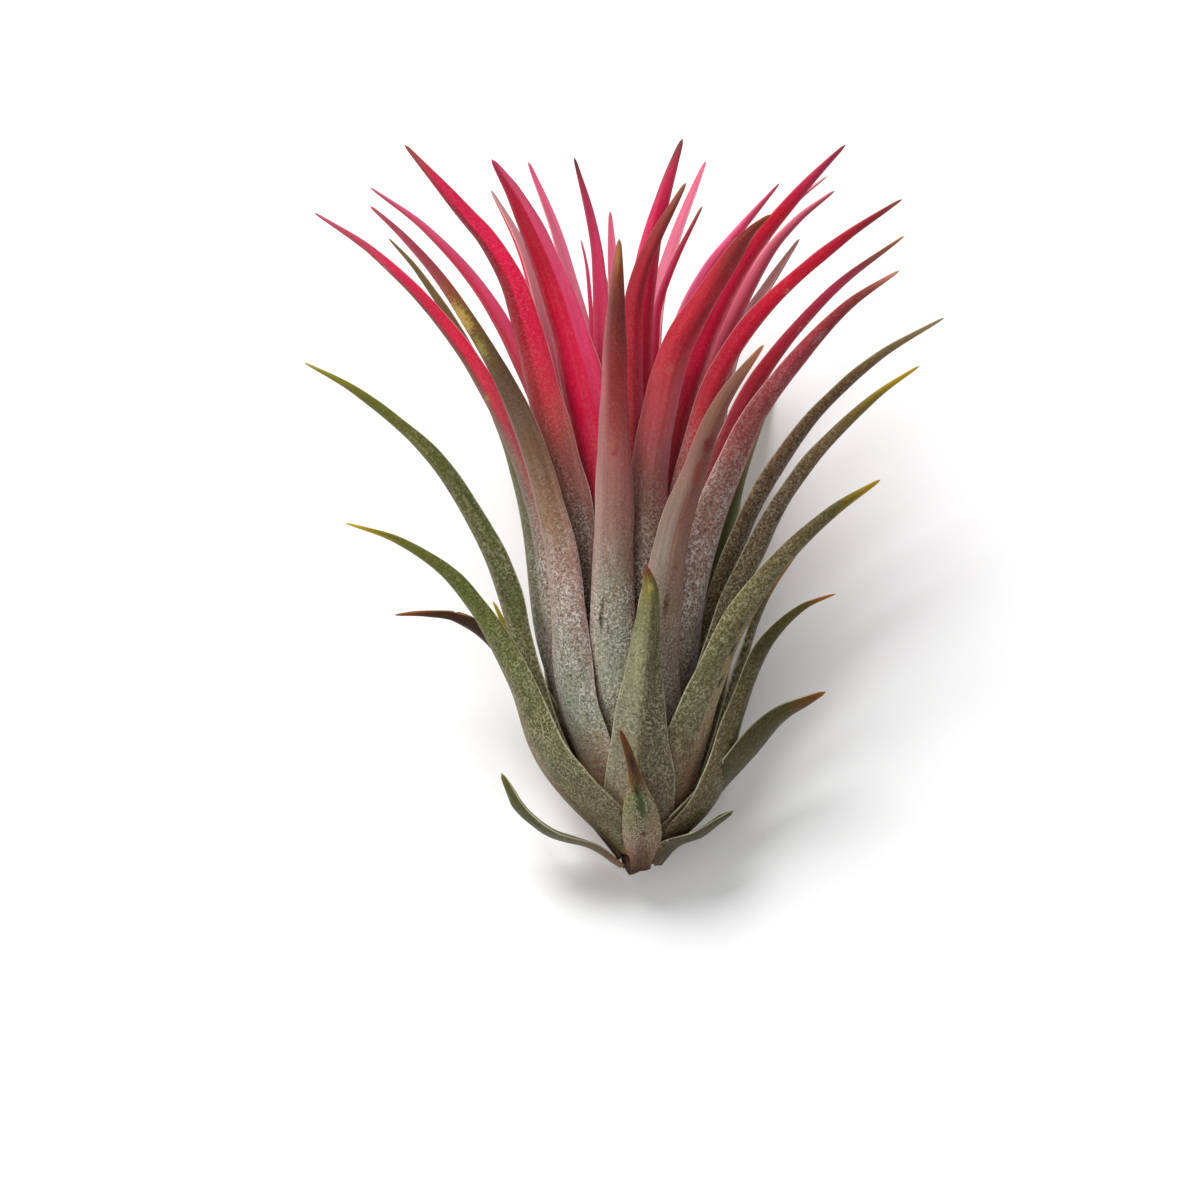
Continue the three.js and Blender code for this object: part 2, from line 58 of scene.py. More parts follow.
# Leaves. side: the way that the blade's back faces, in degrees from the viewer to the right.
# root: height of its root on the stem. width: of the blade at its widest.
# sheath: how much wider it is at its base, full: how long it keeps its width.
# path: points that its middle line passes through, the last one at its tip. X and Y are where the
# viewer sees the point against the plane of the axis, Z is how far it stands in front of it.
LEAVES = {
    # low in front
    "dry_leaf_front": dict(side=-6, root=1, width=4.6, path=[
        (0.3, 5, 6.4), (0, 9, 10.4), (-0.6, 14, 13.8), (-1.8, 18.6, 16.4), (-3, 21.8, 18.4)]),
    "outer_leaf_01": dict(side=3, root=3, width=7.8, full=2.2, path=[
        (0, 8, 7.4), (0, 14, 11), (0.2, 26, 15.6), (0.9, 35, 17.8), (1.5, 43, 20), (0.8, 46.5, 21.2)]),
    "outer_leaf_02": dict(side=32, root=4.5, width=6, full=1.6, sheath=1.5, path=[
        (4.8, 12, 7), (7.4, 20.3, 10), (9.9, 27.3, 12), (13.3, 35.1, 13.6), (16.7, 40.8, 14.6),
        (21.8, 47.6, 15.9), (28.9, 54.2, 17.1), (36.1, 59.3, 18)]),
    "outer_leaf_03": dict(side=-34, root=3.5, width=7.4, full=0.74, sheath=1.7, path=[
        (-5.8, 7.6, 4.8), (-10.8, 13.4, 7.4), (-14.4, 19.2, 9), (-17.7, 27.8, 9.8), (-21.3, 34.7, 10),
        (-24.8, 40.3, 10.4), (-29.2, 45.4, 10.8), (-36.5, 50.1, 11.4), (-44.3, 52.8, 12)]),
    "outer_leaf_04": dict(side=50, root=2.8, width=6, sheath=1.5, path=[
        (10.4, 11.5, 5.2), (14.5, 24.3, 7.4), (19.1, 34.7, 9), (24.5, 40.1, 9.8), (29.4, 42.2, 10.5)]),
    "outer_leaf_05": dict(side=30, root=1.8, width=7.2, full=2.6, sheath=1.4, path=[
        (7.6, 8.1, 3.2), (14.9, 17.2, 4.4), (20.6, 23.7, 5.6), (27.9, 27.5, 7)]),
    "outer_leaf_06": dict(side=30, root=1.6, width=7.2, path=[
        (5.2, 4.5, 2.6), (9.6, 6.5, 4.2), (14, 9.7, 5.4)]),
    "outer_leaf_12": dict(side=-60, root=5.4, width=4, path=[
        (-7, 14, -1.4), (-13.2, 26, -2.4), (-19.2, 35, -1.2), (-22.1, 41.1, 0.4)]),
    "outer_leaf_07": dict(side=-30, root=1.4, width=6, full=2, path=[
        (-7.4, 4.4, 1.6), (-13.8, 6.6, 2.6), (-18.3, 10.4, 3), (-20.8, 15.3, 3.6)]),
    "dry_leaf_side": dict(side=-45, root=2.4, width=6.4, full=1.6, path=[
        (-8.4, 10, -0.6), (-15, 22.8, -1.6), (-21.3, 34.2, -0.6), (-27.3, 38.5, 1.2), (-32, 39.2, 2.2),
        (-36.9, 39, 3)]),
    # long, green to olive
    "outer_leaf_08": dict(side=-50, root=6.4, width=6.2, path=[
        (-11.2, 17.5, 1.6), (-16.4, 29, 3.6), (-20.8, 43.8, 4.8), (-24.1, 51.4, 4.8), (-31.1, 62.5, 4.6),
        (-42.3, 72.2, 4.8), (-50.5, 76.9, 5)]),
    "outer_leaf_09": dict(side=52, root=6.5, width=6, path=[
        (7.4, 17, 4.4), (10.6, 30, 7), (14.4, 41.2, 8), (17.8, 48.6, 8.4), (21.3, 55.6, 8.8),
        (26.9, 63.4, 9.2), (35.4, 71.7, 10), (42, 76.4, 11)]),
    "outer_leaf_10": dict(side=60, root=7, width=5.6, full=1.6, path=[
        (7.6, 19, 1.2), (10.2, 33, 2.8), (12.3, 41.3, 3.6), (16.1, 52.4, 4.4), (20.8, 61.1, 4.8),
        (26.5, 69.1, 5), (35.8, 77.6, 5.4), (45.7, 83.6, 6)]),
    "outer_leaf_11": dict(side=75, root=3.8, width=5, path=[
        (9.4, 14, 0.8), (13.9, 28, 3), (16.4, 35.5, 4.4), (19, 41.9, 5.6), (24.2, 49.2, 7)]),
    # front of the crown
    "middle_leaf_01": dict(side=-5, root=10.5, width=6.8, full=1.6, path=[
        (-1.7, 18, 6.6), (-3.8, 29, 11.2), (-4, 56, 16.4), (-3.8, 79, 20.4), (-3.1, 95.5, 25.5)]),
    "middle_leaf_02": dict(side=-32, root=8, width=6.8, full=1, sheath=1.25, path=[
        (-6.8, 16.5, 6), (-10, 27.8, 9.4), (-11.3, 39.5, 11.4), (-12.7, 50, 12), (-18.8, 70, 13.8),
        (-28.5, 87.1, 17), (-34.7, 94.8, 19), (-40.6, 100.4, 21)]),
    "middle_leaf_03": dict(side=18, root=7, width=7.8, full=1.15, path=[
        (1.9, 18, 8.2), (2.3, 30, 12), (5.2, 50.3, 16.6), (8, 59.3, 19), (12, 70, 22.6), (18.6, 79.6, 27)]),
    "middle_leaf_04": dict(side=38, root=11, width=6.8, full=1.4, path=[
        (4.4, 21, 6), (5.9, 30, 8.4), (7.8, 41.3, 11), (11.6, 54.8, 12.8), (14.7, 62.4, 13.4),
        (17.7, 69, 13.8), (23.7, 77.1, 14.6), (31.2, 85.2, 15.6), (39, 90.7, 17)]),
    "middle_leaf_05": dict(side=12, root=12.5, width=6, full=2.8, path=[
        (1.2, 26, 7.8), (1.8, 47, 12.2), (1.6, 60, 13.2), (3.1, 69, 14.2), (5.2, 77.7, 15.6),
        (9, 84.8, 17.2), (13.9, 92.5, 19.6), (16.6, 96.4, 21.2), (19.6, 99.1, 22.5)]),
    "middle_leaf_06": dict(side=-52, root=9.5, width=6.8, path=[
        (-7.4, 20, 3), (-13, 38, 6.2), (-16.1, 56, 7), (-22.3, 71.2, 7.6), (-30.2, 83.3, 8.2),
        (-40.4, 93.5, 9.2), (-49, 99.4, 10)]),
    "middle_leaf_07": dict(side=-70, root=9, width=6, path=[
        (-10, 21, -1.6), (-14.7, 35, -1), (-17, 53, -0.6), (-20.4, 66, -1), (-26.2, 79.2, -2),
        (-33.3, 90.4, -3.2), (-37.8, 95.6, -4)]),
    "middle_leaf_08": dict(side=48, root=12.5, width=5.6, path=[
        (4.8, 23, 3.8), (7.8, 42, 7.2), (10.7, 57, 8.6), (15.4, 69.6, 9.2), (20.4, 77.7, 9.6),
        (28.9, 87.5, 10.6), (39.7, 95.9, 12)]),
    "middle_leaf_09": dict(side=58, root=10.5, width=4.8, path=[
        (6.8, 23, -1.4), (11, 42, -1.2), (14.2, 55, -1), (16, 61.5, -1), (18.2, 67.6, -1.4),
        (19.9, 71.6, -1.6)]),
    "middle_leaf_10": dict(side=-34, root=13.5, width=8.8, full=1.25, path=[
        (-5.2, 25, 5), (-9.2, 42, 7.4), (-12.2, 60, 8.8), (-15, 72, 10.2), (-17.9, 83.6, 11.6),
        (-19.9, 89.4, 12.5), (-23.2, 95.1, 13.4), (-26.5, 99.1, 14.1), (-35.4, 109.6, 17)]),
    "middle_leaf_11": dict(side=34, root=15, width=4.9, full=1.8, path=[
        (3.4, 27, 4.7), (5.2, 47, 8.2), (8.5, 64, 10.2), (12.2, 75.4, 11.8), (18.7, 84.8, 13.2),
        (30.3, 95.1, 14.8), (39.4, 101.4, 16)]),
    "middle_leaf_12": dict(side=4, root=16, width=5.2, full=1.6, path=[
        (-0.6, 30, 6.8), (-1.1, 48, 9.4), (-1.3, 66, 11), (-1.2, 78, 12.4), (-1, 84.8, 13.4),
        (0.2, 90.6, 14.6), (2.2, 95.2, 15.8), (6.9, 103.9, 18)]),
    # inside the crown
    "inner_leaf_01": dict(side=-25, root=18, width=8.2, full=2.4, path=[
        (-3, 30, 4.2), (-4.6, 44, 5.8), (-7, 63, 7), (-12.5, 86, 9.6), (-18.7, 101.4, 12.3),
        (-22.3, 107.4, 13.5)]),
    "inner_leaf_02": dict(side=-52, root=16, width=5.8, path=[
        (-5.2, 28, 1.8), (-8.8, 44, 3.6), (-13.2, 64.5, 5), (-23, 86, 7.4), (-31.8, 96.4, 9),
        (-40.6, 103.2, 10.5)]),
    "inner_leaf_03": dict(side=48, root=18.5, width=6.2, full=2.1, path=[
        (3, 32, 3.2), (4.2, 50, 4.8), (7.3, 71, 6.8), (14.6, 89.6, 9), (23.7, 101.8, 10.6),
        (30.9, 109.6, 12)]),
    "inner_leaf_04": dict(side=56, root=15.5, width=6.4, full=1.6, path=[
        (5.1, 28, 1.2), (7.2, 49, 2), (11.2, 75, 2.6), (18.7, 92, 3.2), (23.5, 98, 3.6), (29.3, 102.7, 4)]),
    "inner_leaf_05": dict(side=14, root=21, width=5, full=2.4, path=[
        (0.3, 34, 3.2), (-0.2, 54, 5.6), (-0.2, 72, 7.4), (0.4, 84.8, 9), (1.7, 94.5, 10.6),
        (4, 103.1, 12.2), (6.4, 110.5, 13.5)]),
    "inner_leaf_06": dict(side=58, root=22, width=4, path=[
        (1.9, 35, 1.7), (1.8, 52, 2.6), (1.9, 66, 3.4), (2.3, 77.7, 4.2), (2.8, 84.8, 4.8),
        (4.9, 91.1, 5.6), (9.4, 100.4, 7)]),
    "inner_leaf_07": dict(side=-45, root=22, width=5.5, path=[
        (-2, 35, 1.8), (-3.4, 52, 2.8), (-5.6, 74, 3.6), (-6.9, 95, 5), (-9.9, 107.7, 7)]),
    "inner_leaf_08": dict(side=-75, root=22, width=3, path=[
        (-3.5, 35, -0.6), (-5.2, 54, -1), (-6.9, 76, -1), (-8, 91, -1.4), (-8.9, 95.4, -1.8)]),
    "inner_leaf_09": dict(side=66, root=20.5, width=6.4, full=1.5, path=[
        (4.3, 33, -0.4), (4.8, 52, -0.6), (5, 70, -1), (6.3, 82, -1.4), (9.9, 90, -2), (13.8, 95.2, -2.6),
        (21, 103.8, -3.4)]),
    "inner_leaf_10": dict(side=150, root=22, width=5.2, path=[
        (1.6, 35, -2.6), (1.5, 54, -4), (1.7, 72, -5.4), (2.7, 86, -7), (5.7, 96.3, -8.6),
        (8.3, 103.1, -10), (9.9, 107.1, -11)]),
    "inner_leaf_11": dict(side=180, root=24, width=4.4, path=[
        (-0.2, 36, -2), (-1.2, 54, -3), (-3.3, 76, -5), (-4, 90, -7), (-4.5, 99.6, -9)]),
    "inner_leaf_12": dict(side=-150, root=21, width=5, path=[
        (-2.4, 34, -2.9), (-4.4, 54, -4.6), (-8.4, 80, -7), (-12.6, 96, -9), (-16.8, 107, -11.5)]),
    "inner_leaf_13": dict(side=-125, root=18, width=7.4, path=[
        (-4.6, 31, -2.2), (-7.7, 52, -3), (-13.2, 76, -5), (-17.7, 93.3, -7.6), (-22.4, 102.8, -9.6)]),
    "inner_leaf_14": dict(side=118, root=15.5, width=5, path=[
        (5.4, 28, -2.5), (7.4, 50, -3.4), (11.6, 77, -5.4), (19, 95.3, -8), (23.5, 101, -9.2),
        (28.2, 104.9, -10.2)]),
    "inner_leaf_15": dict(side=140, root=9.5, width=6, path=[
        (7.4, 25, -4.2), (9.6, 49, -6), (12.7, 73, -8), (16, 83, -9.6), (19.6, 88.8, -10.8),
        (24, 95.5, -12.5)]),
    # behind, out of the viewer's sight; the first three carry the plant where it lies
    "back_leaf_01": dict(side=180, root=5, width=7.4, path=[
        (0.3, 10, -7.6), (0.5, 17, -10.95), (0.5, 25, -13.4), (-1, 50, -17.5), (-3, 75, -25),
        (-6, 92, -34)]),
    "back_leaf_02": dict(side=-150, root=5.5, width=6.4, path=[
        (-4.8, 15, -6.8), (-9, 31, -11.2), (-12.6, 48, -16.4), (-16.4, 63, -24), (-21.6, 76.5, -34.6)]),
    "back_leaf_03": dict(side=150, root=6.5, width=6.4, path=[
        (5.2, 17, -6.8), (9.2, 33, -11.2), (11.8, 49, -16.4), (15.2, 62.5, -24), (20.6, 75.2, -34)]),
    "back_leaf_04": dict(side=-162, root=3, width=6.8, path=[
        (-4.8, 10.5, -7.5), (-7.4, 24, -12.3), (-8.2, 35, -16.4), (-8.4, 44, -20.6)]),
    "back_leaf_05": dict(side=160, root=3, width=6.6, path=[
        (5.4, 11.5, -7.6), (8.8, 25, -12.2), (10.8, 37, -15.8), (12.4, 47, -19.6)]),
    "back_leaf_06": dict(side=-122, root=4, width=6, path=[
        (-8.2, 14, -3.8), (-13, 29, -6.4), (-14.4, 45, -8.2), (-17.6, 61, -12), (-22, 74, -18)]),
    "back_leaf_07": dict(side=122, root=3.6, width=6, path=[
        (8.4, 16, -4.6), (12.6, 32, -7.4), (13.4, 46, -9.2), (14.8, 58.5, -12.2), (18.4, 71, -17.6)]),
    "back_leaf_08": dict(side=-165, root=8.5, width=6, path=[
        (-2.8, 20, -8.2), (-4.6, 38, -12.2), (-6.6, 58, -15.2), (-10, 80, -20.5), (-15, 96, -28)]),
    "back_leaf_09": dict(side=168, root=9.5, width=6, path=[
        (2.4, 22, -8), (3.8, 42, -12), (5.4, 62, -14.8), (9, 81, -19.5), (14.5, 93, -25.5)]),
    "back_leaf_10": dict(side=-135, root=10.5, width=5.8, path=[
        (-6.2, 23, -4.8), (-9.6, 42, -8), (-12.4, 61, -10.4), (-16.2, 76, -14), (-19.6, 86, -18.5)]),
    "back_leaf_11": dict(side=142, root=11.5, width=5.4, path=[
        (4.6, 23, -4.8), (7.4, 43, -7.6), (9.8, 63, -11), (13.2, 76, -14.8), (18, 86, -19)]),
    "back_leaf_12": dict(side=178, root=14.5, width=5, path=[
        (-0.2, 27, -5.2), (-0.6, 46, -8), (-0.6, 66, -10.6), (0.6, 88, -15), (2.6, 100, -19)]),
    "back_leaf_13": dict(side=-155, root=13.5, width=5.2, path=[
        (-3.6, 27, -5.6), (-5.8, 47, -8), (-7.6, 68, -10.2), (-9.8, 83, -12.6), (-12.2, 93, -15.6)]),
    "back_leaf_14": dict(side=155, root=17, width=4.8, path=[
        (2.2, 30, -4), (4.2, 49, -6.2), (6.6, 70, -9.2), (9.6, 83, -12.4), (12.8, 92.5, -15.6)]),
}

# Colours, as they show in white light. Many of them, here and in LOOKS, come from means that were
# measured along the leaves in the photograph. Most were changed after that and some were
# not, which is an open failure.
COLOURS = {
    "foot": "#A98A66", "silver": "#93927F", "grey": "#837A69", "mauve": "#966E65", "rosewood": "#9A5450",
    "brown": "#704536", "rose": "#C82A4C", "pink": "#C85A74", "pale_pink": "#C07886", "olive": "#6D7250",
    "moss": "#5A5A30", "ochre": "#A67641", "straw": "#B9AE6A", "yellow": "#C8B85A", "bark": "#4A2E1C",
    "paper": "#9A6E42",
}

# How each leaf looks. back: colours of its outer face from the root (0) to the tip (1).
# left, right: the same for the two sides of that face, where they differ, mostly painted light on one
# side and painted shade on the other, with some of the leaf's own colour, and fold: where these meet,
# if they meet sharply, from -1 (left edge) to 1. hollow: its inner face.
# cover: how thickly silver scales lie on it. keel: how far a ridge stands out along its back, in mm.
# slim: how much of its width is left towards the tip. marks: scars, each with its place along and
# across the leaf (-1 is the left edge), its length and width in mm, its colour and its strength.
OUTER_HOLLOW = [(0, "foot"), (0.3, "olive"), (0.9, "moss"), (1, "straw")]
MIDDLE_HOLLOW = [(0, "foot"), (0.3, "olive"), (0.6, "mauve"), (0.85, "rosewood"), (1, "brown")]
INNER_HOLLOW = [(0, "foot"), (0.3, "#B07A70"), (0.5, "#CC6680"), (0.75, "pale_pink"), (1, "pink")]
OUTER_COVER = [(0, 0.3), (0.12, 0.85), (0.5, 0.8), (0.7, 0.55), (0.85, 0.3), (0.95, 0.1), (1, 0)]
MIDDLE_COVER = [(0, 0.2), (0.1, 0.75), (0.2, 1), (0.35, 0.9), (0.46, 0.35), (0.58, 0.08), (1, 0.02)]
INNER_COVER = [(0, 0.2), (0.15, 0.8), (0.3, 0.55), (0.42, 0.2), (0.55, 0.08), (1, 0.03)]

LOOKS = {
    "dry_leaf_front": {
        "back": [(0, "#3A2416"), (0.12, "#5A4030"), (0.22, "#7A6452"), (0.4, "#6A6A4C"), (0.55, "#4E5A30"),
                 (0.64, "#4E4424"), (0.75, "#53381E"), (0.9, "#6A4628"), (1, "#7A4E30")],
        "left": [(0, "#4A3020"), (0.14, "#86695A"), (0.25, "#93867A"), (0.4, "#868A68"), (0.55, "#7A8258"),
                 (0.66, "#7E5C34"), (0.85, "#6E4A2A"), (1, "#84573A")],
        "right": [(0, "#4A3020"), (0.14, "#7E6656"), (0.25, "#857462"), (0.55, "#6E6C48"), (0.68, "#664A2A"),
                  (1, "#7A4E30")],
        "hollow": [(0, "bark"), (0.5, "paper"), (1, "ochre")],
        "cover": [(0, 0), (0.12, 0.4), (0.22, 0.95), (0.58, 0.9), (0.66, 0.15), (1, 0)],
        "slim": 0.62,
        "keel": 0.15,
        "marks": [(0.5, 0.15, 5, 0.9, "#3A4E20", 0.9), (0.6, 0, 2.2, 0.7, "#24240E", 0.8),
                  (0.3, 0.1, 1.4, 0.6, "#2A1C10", 0.8), (0.78, 0.2, 3.4, 0.8, "#2E1C0C", 0.75),
                  (0.2, -0.4, 1.6, 0.8, "#A08A80", 0.5)],
    },
    # painted light and shade: its left side is pale where it is lit and its right side darker where it is
    # shaded
    "outer_leaf_01": {
        "back": [(0, "#4F3C1E"), (0.2, "#8A7C68"), (0.4, "#86826A"), (0.7, "#6E6A4A"), (0.88, "#7C713F"),
                 (1, "#6E4030")],
        "left": [(0, "#6F5A42"), (0.12, "#A38A7A"), (0.3, "#9C968A"), (0.5, "#949A8A"), (0.7, "#8A937E"),
                 (0.87, "#808664"), (0.95, "#86804C"), (1, "#6E4A30")],
        "right": [(0, "#4F3C1E"), (0.15, "#74625A"), (0.3, "#605A4E"), (0.5, "#5A5848"), (0.7, "#52553E"),
                  (0.87, "#626442"), (0.95, "#746C40"), (1, "#6E4030")],
        "cover": [(0, 0.3), (0.15, 0.8), (0.5, 0.85), (0.8, 0.5), (1, 0)],
        "keel": 0.5,
        "fold": 0.05,
        "slim": 0.85,
        "marks": [(0.985, 0, 1.8, 1.4, "#6E3A22", 0.9), (0.93, 0.1, 1.8, 0.9, "#98904A", 0.6),
                  (0.3, 0.5, 1.8, 0.5, "#3A321E", 0.6), (0.52, 0.35, 1.2, 0.5, "#3E3820", 0.6),
                  (0.42, 0.6, 1, 0.4, "#3A321E", 0.6), (0.64, 0.5, 1, 0.4, "#343820", 0.6)],
    },
    "outer_leaf_02": {
        "back": [(0, "#94685A"), (0.1, "#967068"), (0.2, "#7C6A5A"), (0.3, "#66684F"), (0.45, "#65684B"),
                 (0.6, "#666344"), (0.75, "#61573C"), (0.88, "#585230"), (0.95, "#9A8E34"), (1, "#C8A860")],
        "right": [(0, "#94685A"), (0.1, "#A37F70"), (0.22, "#A08A7A"), (0.35, "#988A74"), (0.5, "#8C8264"),
                  (0.65, "#786E4A"), (0.8, "#645A36"), (1, "ochre")],
        "fold": 0.2,
        "marks": [(0.5, 0.32, 2.8, 0.8, "#2E3218", 0.85), (0.42, 0.38, 2, 0.9, "#30301A", 0.85),
                  (0.62, 0.3, 3.6, 0.6, "#3A3420", 0.7), (0.36, -0.2, 1.5, 0.6, "#3A3C22", 0.7),
                  (0.56, 0, 1.2, 0.6, "#34361C", 0.6), (0.3, 0.4, 1.6, 0.7, "#4A3A2C", 0.6),
                  (0.24, 0.1, 1.2, 0.8, "#34361C", 0.6), (0.7, 0.3, 1.4, 0.5, "#34301C", 0.6)],
    },
    "outer_leaf_03": {
        "back": [(0, "#605841"), (0.12, "#6E6650"), (0.3, "#666C4C"), (0.45, "#5C6640"), (0.6, "#5E6A3A"),
                 (0.72, "#54622C"), (0.88, "#6E7438"), (0.96, "yellow"), (1, "#D9CE98")],
        "left": [(0, "#7A6A50"), (0.2, "#8E7A6A"), (0.4, "#86806A"), (0.6, "#6E7050"), (0.9, "#74783A"),
                 (1, "yellow")],
        "fold": -0.3,
        "cover": [(0, 0.3), (0.12, 0.9), (0.35, 1), (0.5, 0.75), (0.62, 0.45), (0.8, 0.25), (1, 0)],
        "marks": [(0.2, -0.3, 4, 1.2, "#7A4A38", 0.8), (0.17, -0.1, 2.4, 0.8, "#5A3828", 0.7),
                  (0.27, 0.3, 1.6, 0.7, "#3A3C22", 0.6), (0.4, 0.1, 1.4, 0.8, "#3C4024", 0.6),
                  (0.46, -0.3, 2, 0.7, "#34401E", 0.6), (0.56, 0.2, 2.4, 0.8, "#3A4422", 0.5)],
    },
    "outer_leaf_04": {
        "back": [(0, "#5A4A38"), (0.3, "#5A553A"), (0.55, "#585233"), (0.75, "#3E4320"), (0.9, "#5E5628"),
                 (0.96, "#A0702F"), (1, "#C08A4A")],
        "cover": [(0, 0.3), (0.2, 0.6), (0.55, 0.5), (0.75, 0.15), (1, 0)],
    },
    "outer_leaf_05": {
        "back": [(0, "#4A4028"), (0.4, "#3E3C20"), (0.8, "#424418"), (0.93, "#6A4A20"), (1, "#B07A48")],
        "cover": [(0, 0.2), (0.3, 0.4), (0.6, 0.2), (1, 0)],
    },
    "outer_leaf_06": {
        "back": [(0, "#4A3C28"), (0.5, "#35371D"), (1, "#4A4A24")],
        "cover": [(0, 0.2), (0.5, 0.2), (1, 0)],
    },
    "outer_leaf_07": {
        "back": [(0, "#6A5038"), (0.5, "#434826"), (0.85, "#4E5428"), (1, "#6A6A38")],
        "cover": [(0, 0.2), (0.5, 0.3), (1, 0)],
    },
    "outer_leaf_08": {
        "back": [(0, "foot"), (0.15, "#66634A"), (0.3, "#5E6242"), (0.45, "#5C6640"), (0.6, "#545C36"),
                 (0.75, "#566030"), (0.87, "#6E7638"), (0.95, "#9A9A50"), (1, "#CFC98A")],
        "left": [(0, "foot"), (0.2, "#847A66"), (0.35, "#7C7662"), (0.5, "#747258"), (0.65, "#686C4A"),
                 (0.9, "#727A3C"), (1, "yellow")],
        "fold": 0.1,
        "cover": [(0, 0.3), (0.12, 0.9), (0.35, 0.9), (0.5, 0.65), (0.65, 0.4), (0.8, 0.25), (1, 0)],
        "marks": [(0.46, 0.1, 1.6, 0.8, "#3A3A20", 0.6), (0.55, -0.2, 1.2, 0.5, "#3A3A20", 0.6),
                  (0.62, 0.7, 14, 0.6, "#3A4018", 0.7), (0.76, 0.3, 7, 0.5, "#8A8850", 0.5)],
    },
    "outer_leaf_09": {
        "back": [(0, "foot"), (0.15, "#5A5638"), (0.3, "#534D34"), (0.5, "#5E503E"), (0.65, "#5D4A3E"),
                 (0.8, "#6E5E42"), (0.89, "#7E743E"), (0.95, "#B0A02C"), (1, "#D2BF6E")],
        "marks": [(0.62, -0.1, 2, 0.7, "#3A2A20", 0.6)],
    },
    "outer_leaf_10": {
        "back": [(0, "foot"), (0.15, "#4A4430"), (0.3, "#433529"), (0.5, "#573C2F"), (0.7, "#5E463A"),
                 (0.86, "#5E4530"), (0.94, "#7A6A44"), (1, "#B9AE8D")],
        "left": [(0, "foot"), (0.3, "#5E583C"), (0.6, "#7E6252"), (0.8, "#745C42"), (1, "#B9AE8D")],
    },
    "outer_leaf_11": {
        "back": [(0, "foot"), (0.3, "#474728"), (0.7, "#4E4A2C"), (0.85, "#6A5A36"), (0.95, "#A8742F"),
                 (1, "ochre")],
    },
    "outer_leaf_12": {
        "back": [(0, "#6A6040"), (0.6, "#6D6F3C"), (0.85, "#9A9A30"), (1, "#D0B830")],
    },
    "dry_leaf_side": {
        "back": [(0, "#6A5038"), (0.5, "#5E4A30"), (0.75, "#3E2C1A"), (0.9, "#5A3A20"), (1, "#B8733C")],
        "left": [(0, "paper"), (0.6, "#A0713C"), (1, "#C07E44")],
        "hollow": [(0, "bark"), (0.6, "#4A3420"), (1, "paper")],
        "cover": [(0, 0.3), (0.4, 0.3), (0.8, 0.05), (1, 0)],
    },
    # painted light and shade: its left side is lighter where it is lit and its right side darker and browner
    # where it is shaded
    "middle_leaf_01": {
        "back": [(0, "foot"), (0.09, "#A38C74"), (0.15, "#98947F"), (0.22, "#8E9482"), (0.32, "#7E8474"),
                 (0.42, "#7B7062"), (0.52, "#83685E"), (0.62, "#8A5A54"), (0.7, "#84403E"),
                 (0.78, "#78302E"), (0.88, "#5E2A24"), (0.94, "#74482E"), (0.98, "#A07E54"), (1, "#8A7A5C")],
        "left": [(0, "foot"), (0.1, "#A8907A"), (0.3, "#919282"), (0.45, "#92827C"), (0.6, "#A07E7A"),
                 (0.75, "#A4787A"), (0.92, "#80605A"), (1, "#7A6A50")],
        "right": [(0, "foot"), (0.3, "#74725E"), (0.45, "#735A50"), (0.6, "#8A5250"), (0.75, "#8E3440"),
                  (0.9, "#642A28"), (1, "#8A6A48")],
        "marks": [(0.345, -0.42, 3.6, 0.55, "#2E2418", 0.9), (0.37, -0.35, 2.4, 0.5, "#5A3A2A", 0.8),
                  (0.33, -0.1, 1.4, 0.5, "#3A3020", 0.7), (0.39, 0.1, 3.4, 0.6, "#74483C", 0.5),
                  (0.44, -0.2, 5, 0.5, "#7E4E44", 0.5), (0.63, 0.05, 1.1, 0.9, "#8A3038", 0.6)],
    },
    "middle_leaf_02": {
        "back": [(0, "foot"), (0.07, "#AE896C"), (0.12, "#A38E76"), (0.18, "#858C7A"), (0.26, "#7E8272"),
                 (0.33, "#8A7870"), (0.4, "#8A6E64"), (0.47, "#80644E"), (0.56, "#6A503E"), (0.64, "#5C4836"),
                 (0.71, "#544630"), (0.77, "#6A5C34"), (0.83, "#8A5244"), (0.9, "#96485A"), (1, "#A8606A")],
        "left": [(0, "foot"), (0.08, "#BC987A"), (0.2, "#929684"), (0.33, "#968880"), (0.45, "#907A6E"),
                 (0.6, "#7A6252"), (0.7, "#74563C"), (0.8, "#9A7448"), (0.88, "#A85866"), (1, "#B87080")],
        "marks": [(0.79, -0.1, 6, 1.6, "#B89648", 0.8), (0.74, 0, 4, 1.2, "#8A8234", 0.7),
                  (0.68, 0.1, 2.2, 0.7, "#7E6444", 0.3), (0.49, -0.2, 2, 1.4, "#857460", 0.5),
                  (0.24, 0.1, 1, 0.6, "#3E3A26", 0.6)],
    },
    "middle_leaf_03": {
        "back": [(0, "foot"), (0.12, "#8A8272"), (0.3, "#82786A"), (0.42, "#7C6858"), (0.55, "#82645A"),
                 (0.68, "#744E44"), (0.8, "#6E4C40"), (0.9, "#6E4E40"), (0.97, "#8E6E50"), (1, "#B08C6A")],
        "left": [(0, "foot"), (0.2, "#928778"), (0.4, "#8A8072"), (0.6, "#80736A"), (0.8, "#7A6656"),
                 (0.93, "#7E6654"), (1, "#B08C6A")],
        "fold": -0.1,
        "marks": [(0.455, 0.05, 5, 0.55, "#4A2C1A", 0.9), (0.53, 0.2, 1.4, 0.7, "#7A4A34", 0.7),
                  (0.775, 0.15, 3, 1.1, "#6E2620", 0.95), (0.72, 0, 4.5, 0.8, "#7E3A2E", 0.9),
                  (0.62, 0, 1.6, 0.6, "#8A4640", 0.7), (0.25, 0.3, 1.2, 0.5, "#4A4030", 0.6)],
    },
    "middle_leaf_04": {
        "back": [(0, "foot"), (0.1, "#4E5040"), (0.2, "#6E6A5C"), (0.3, "#7A6C62"), (0.42, "#7E6058"),
                 (0.52, "#86625A"), (0.64, "#7E3E3C"), (0.76, "#863840"), (0.88, "#7E3038"),
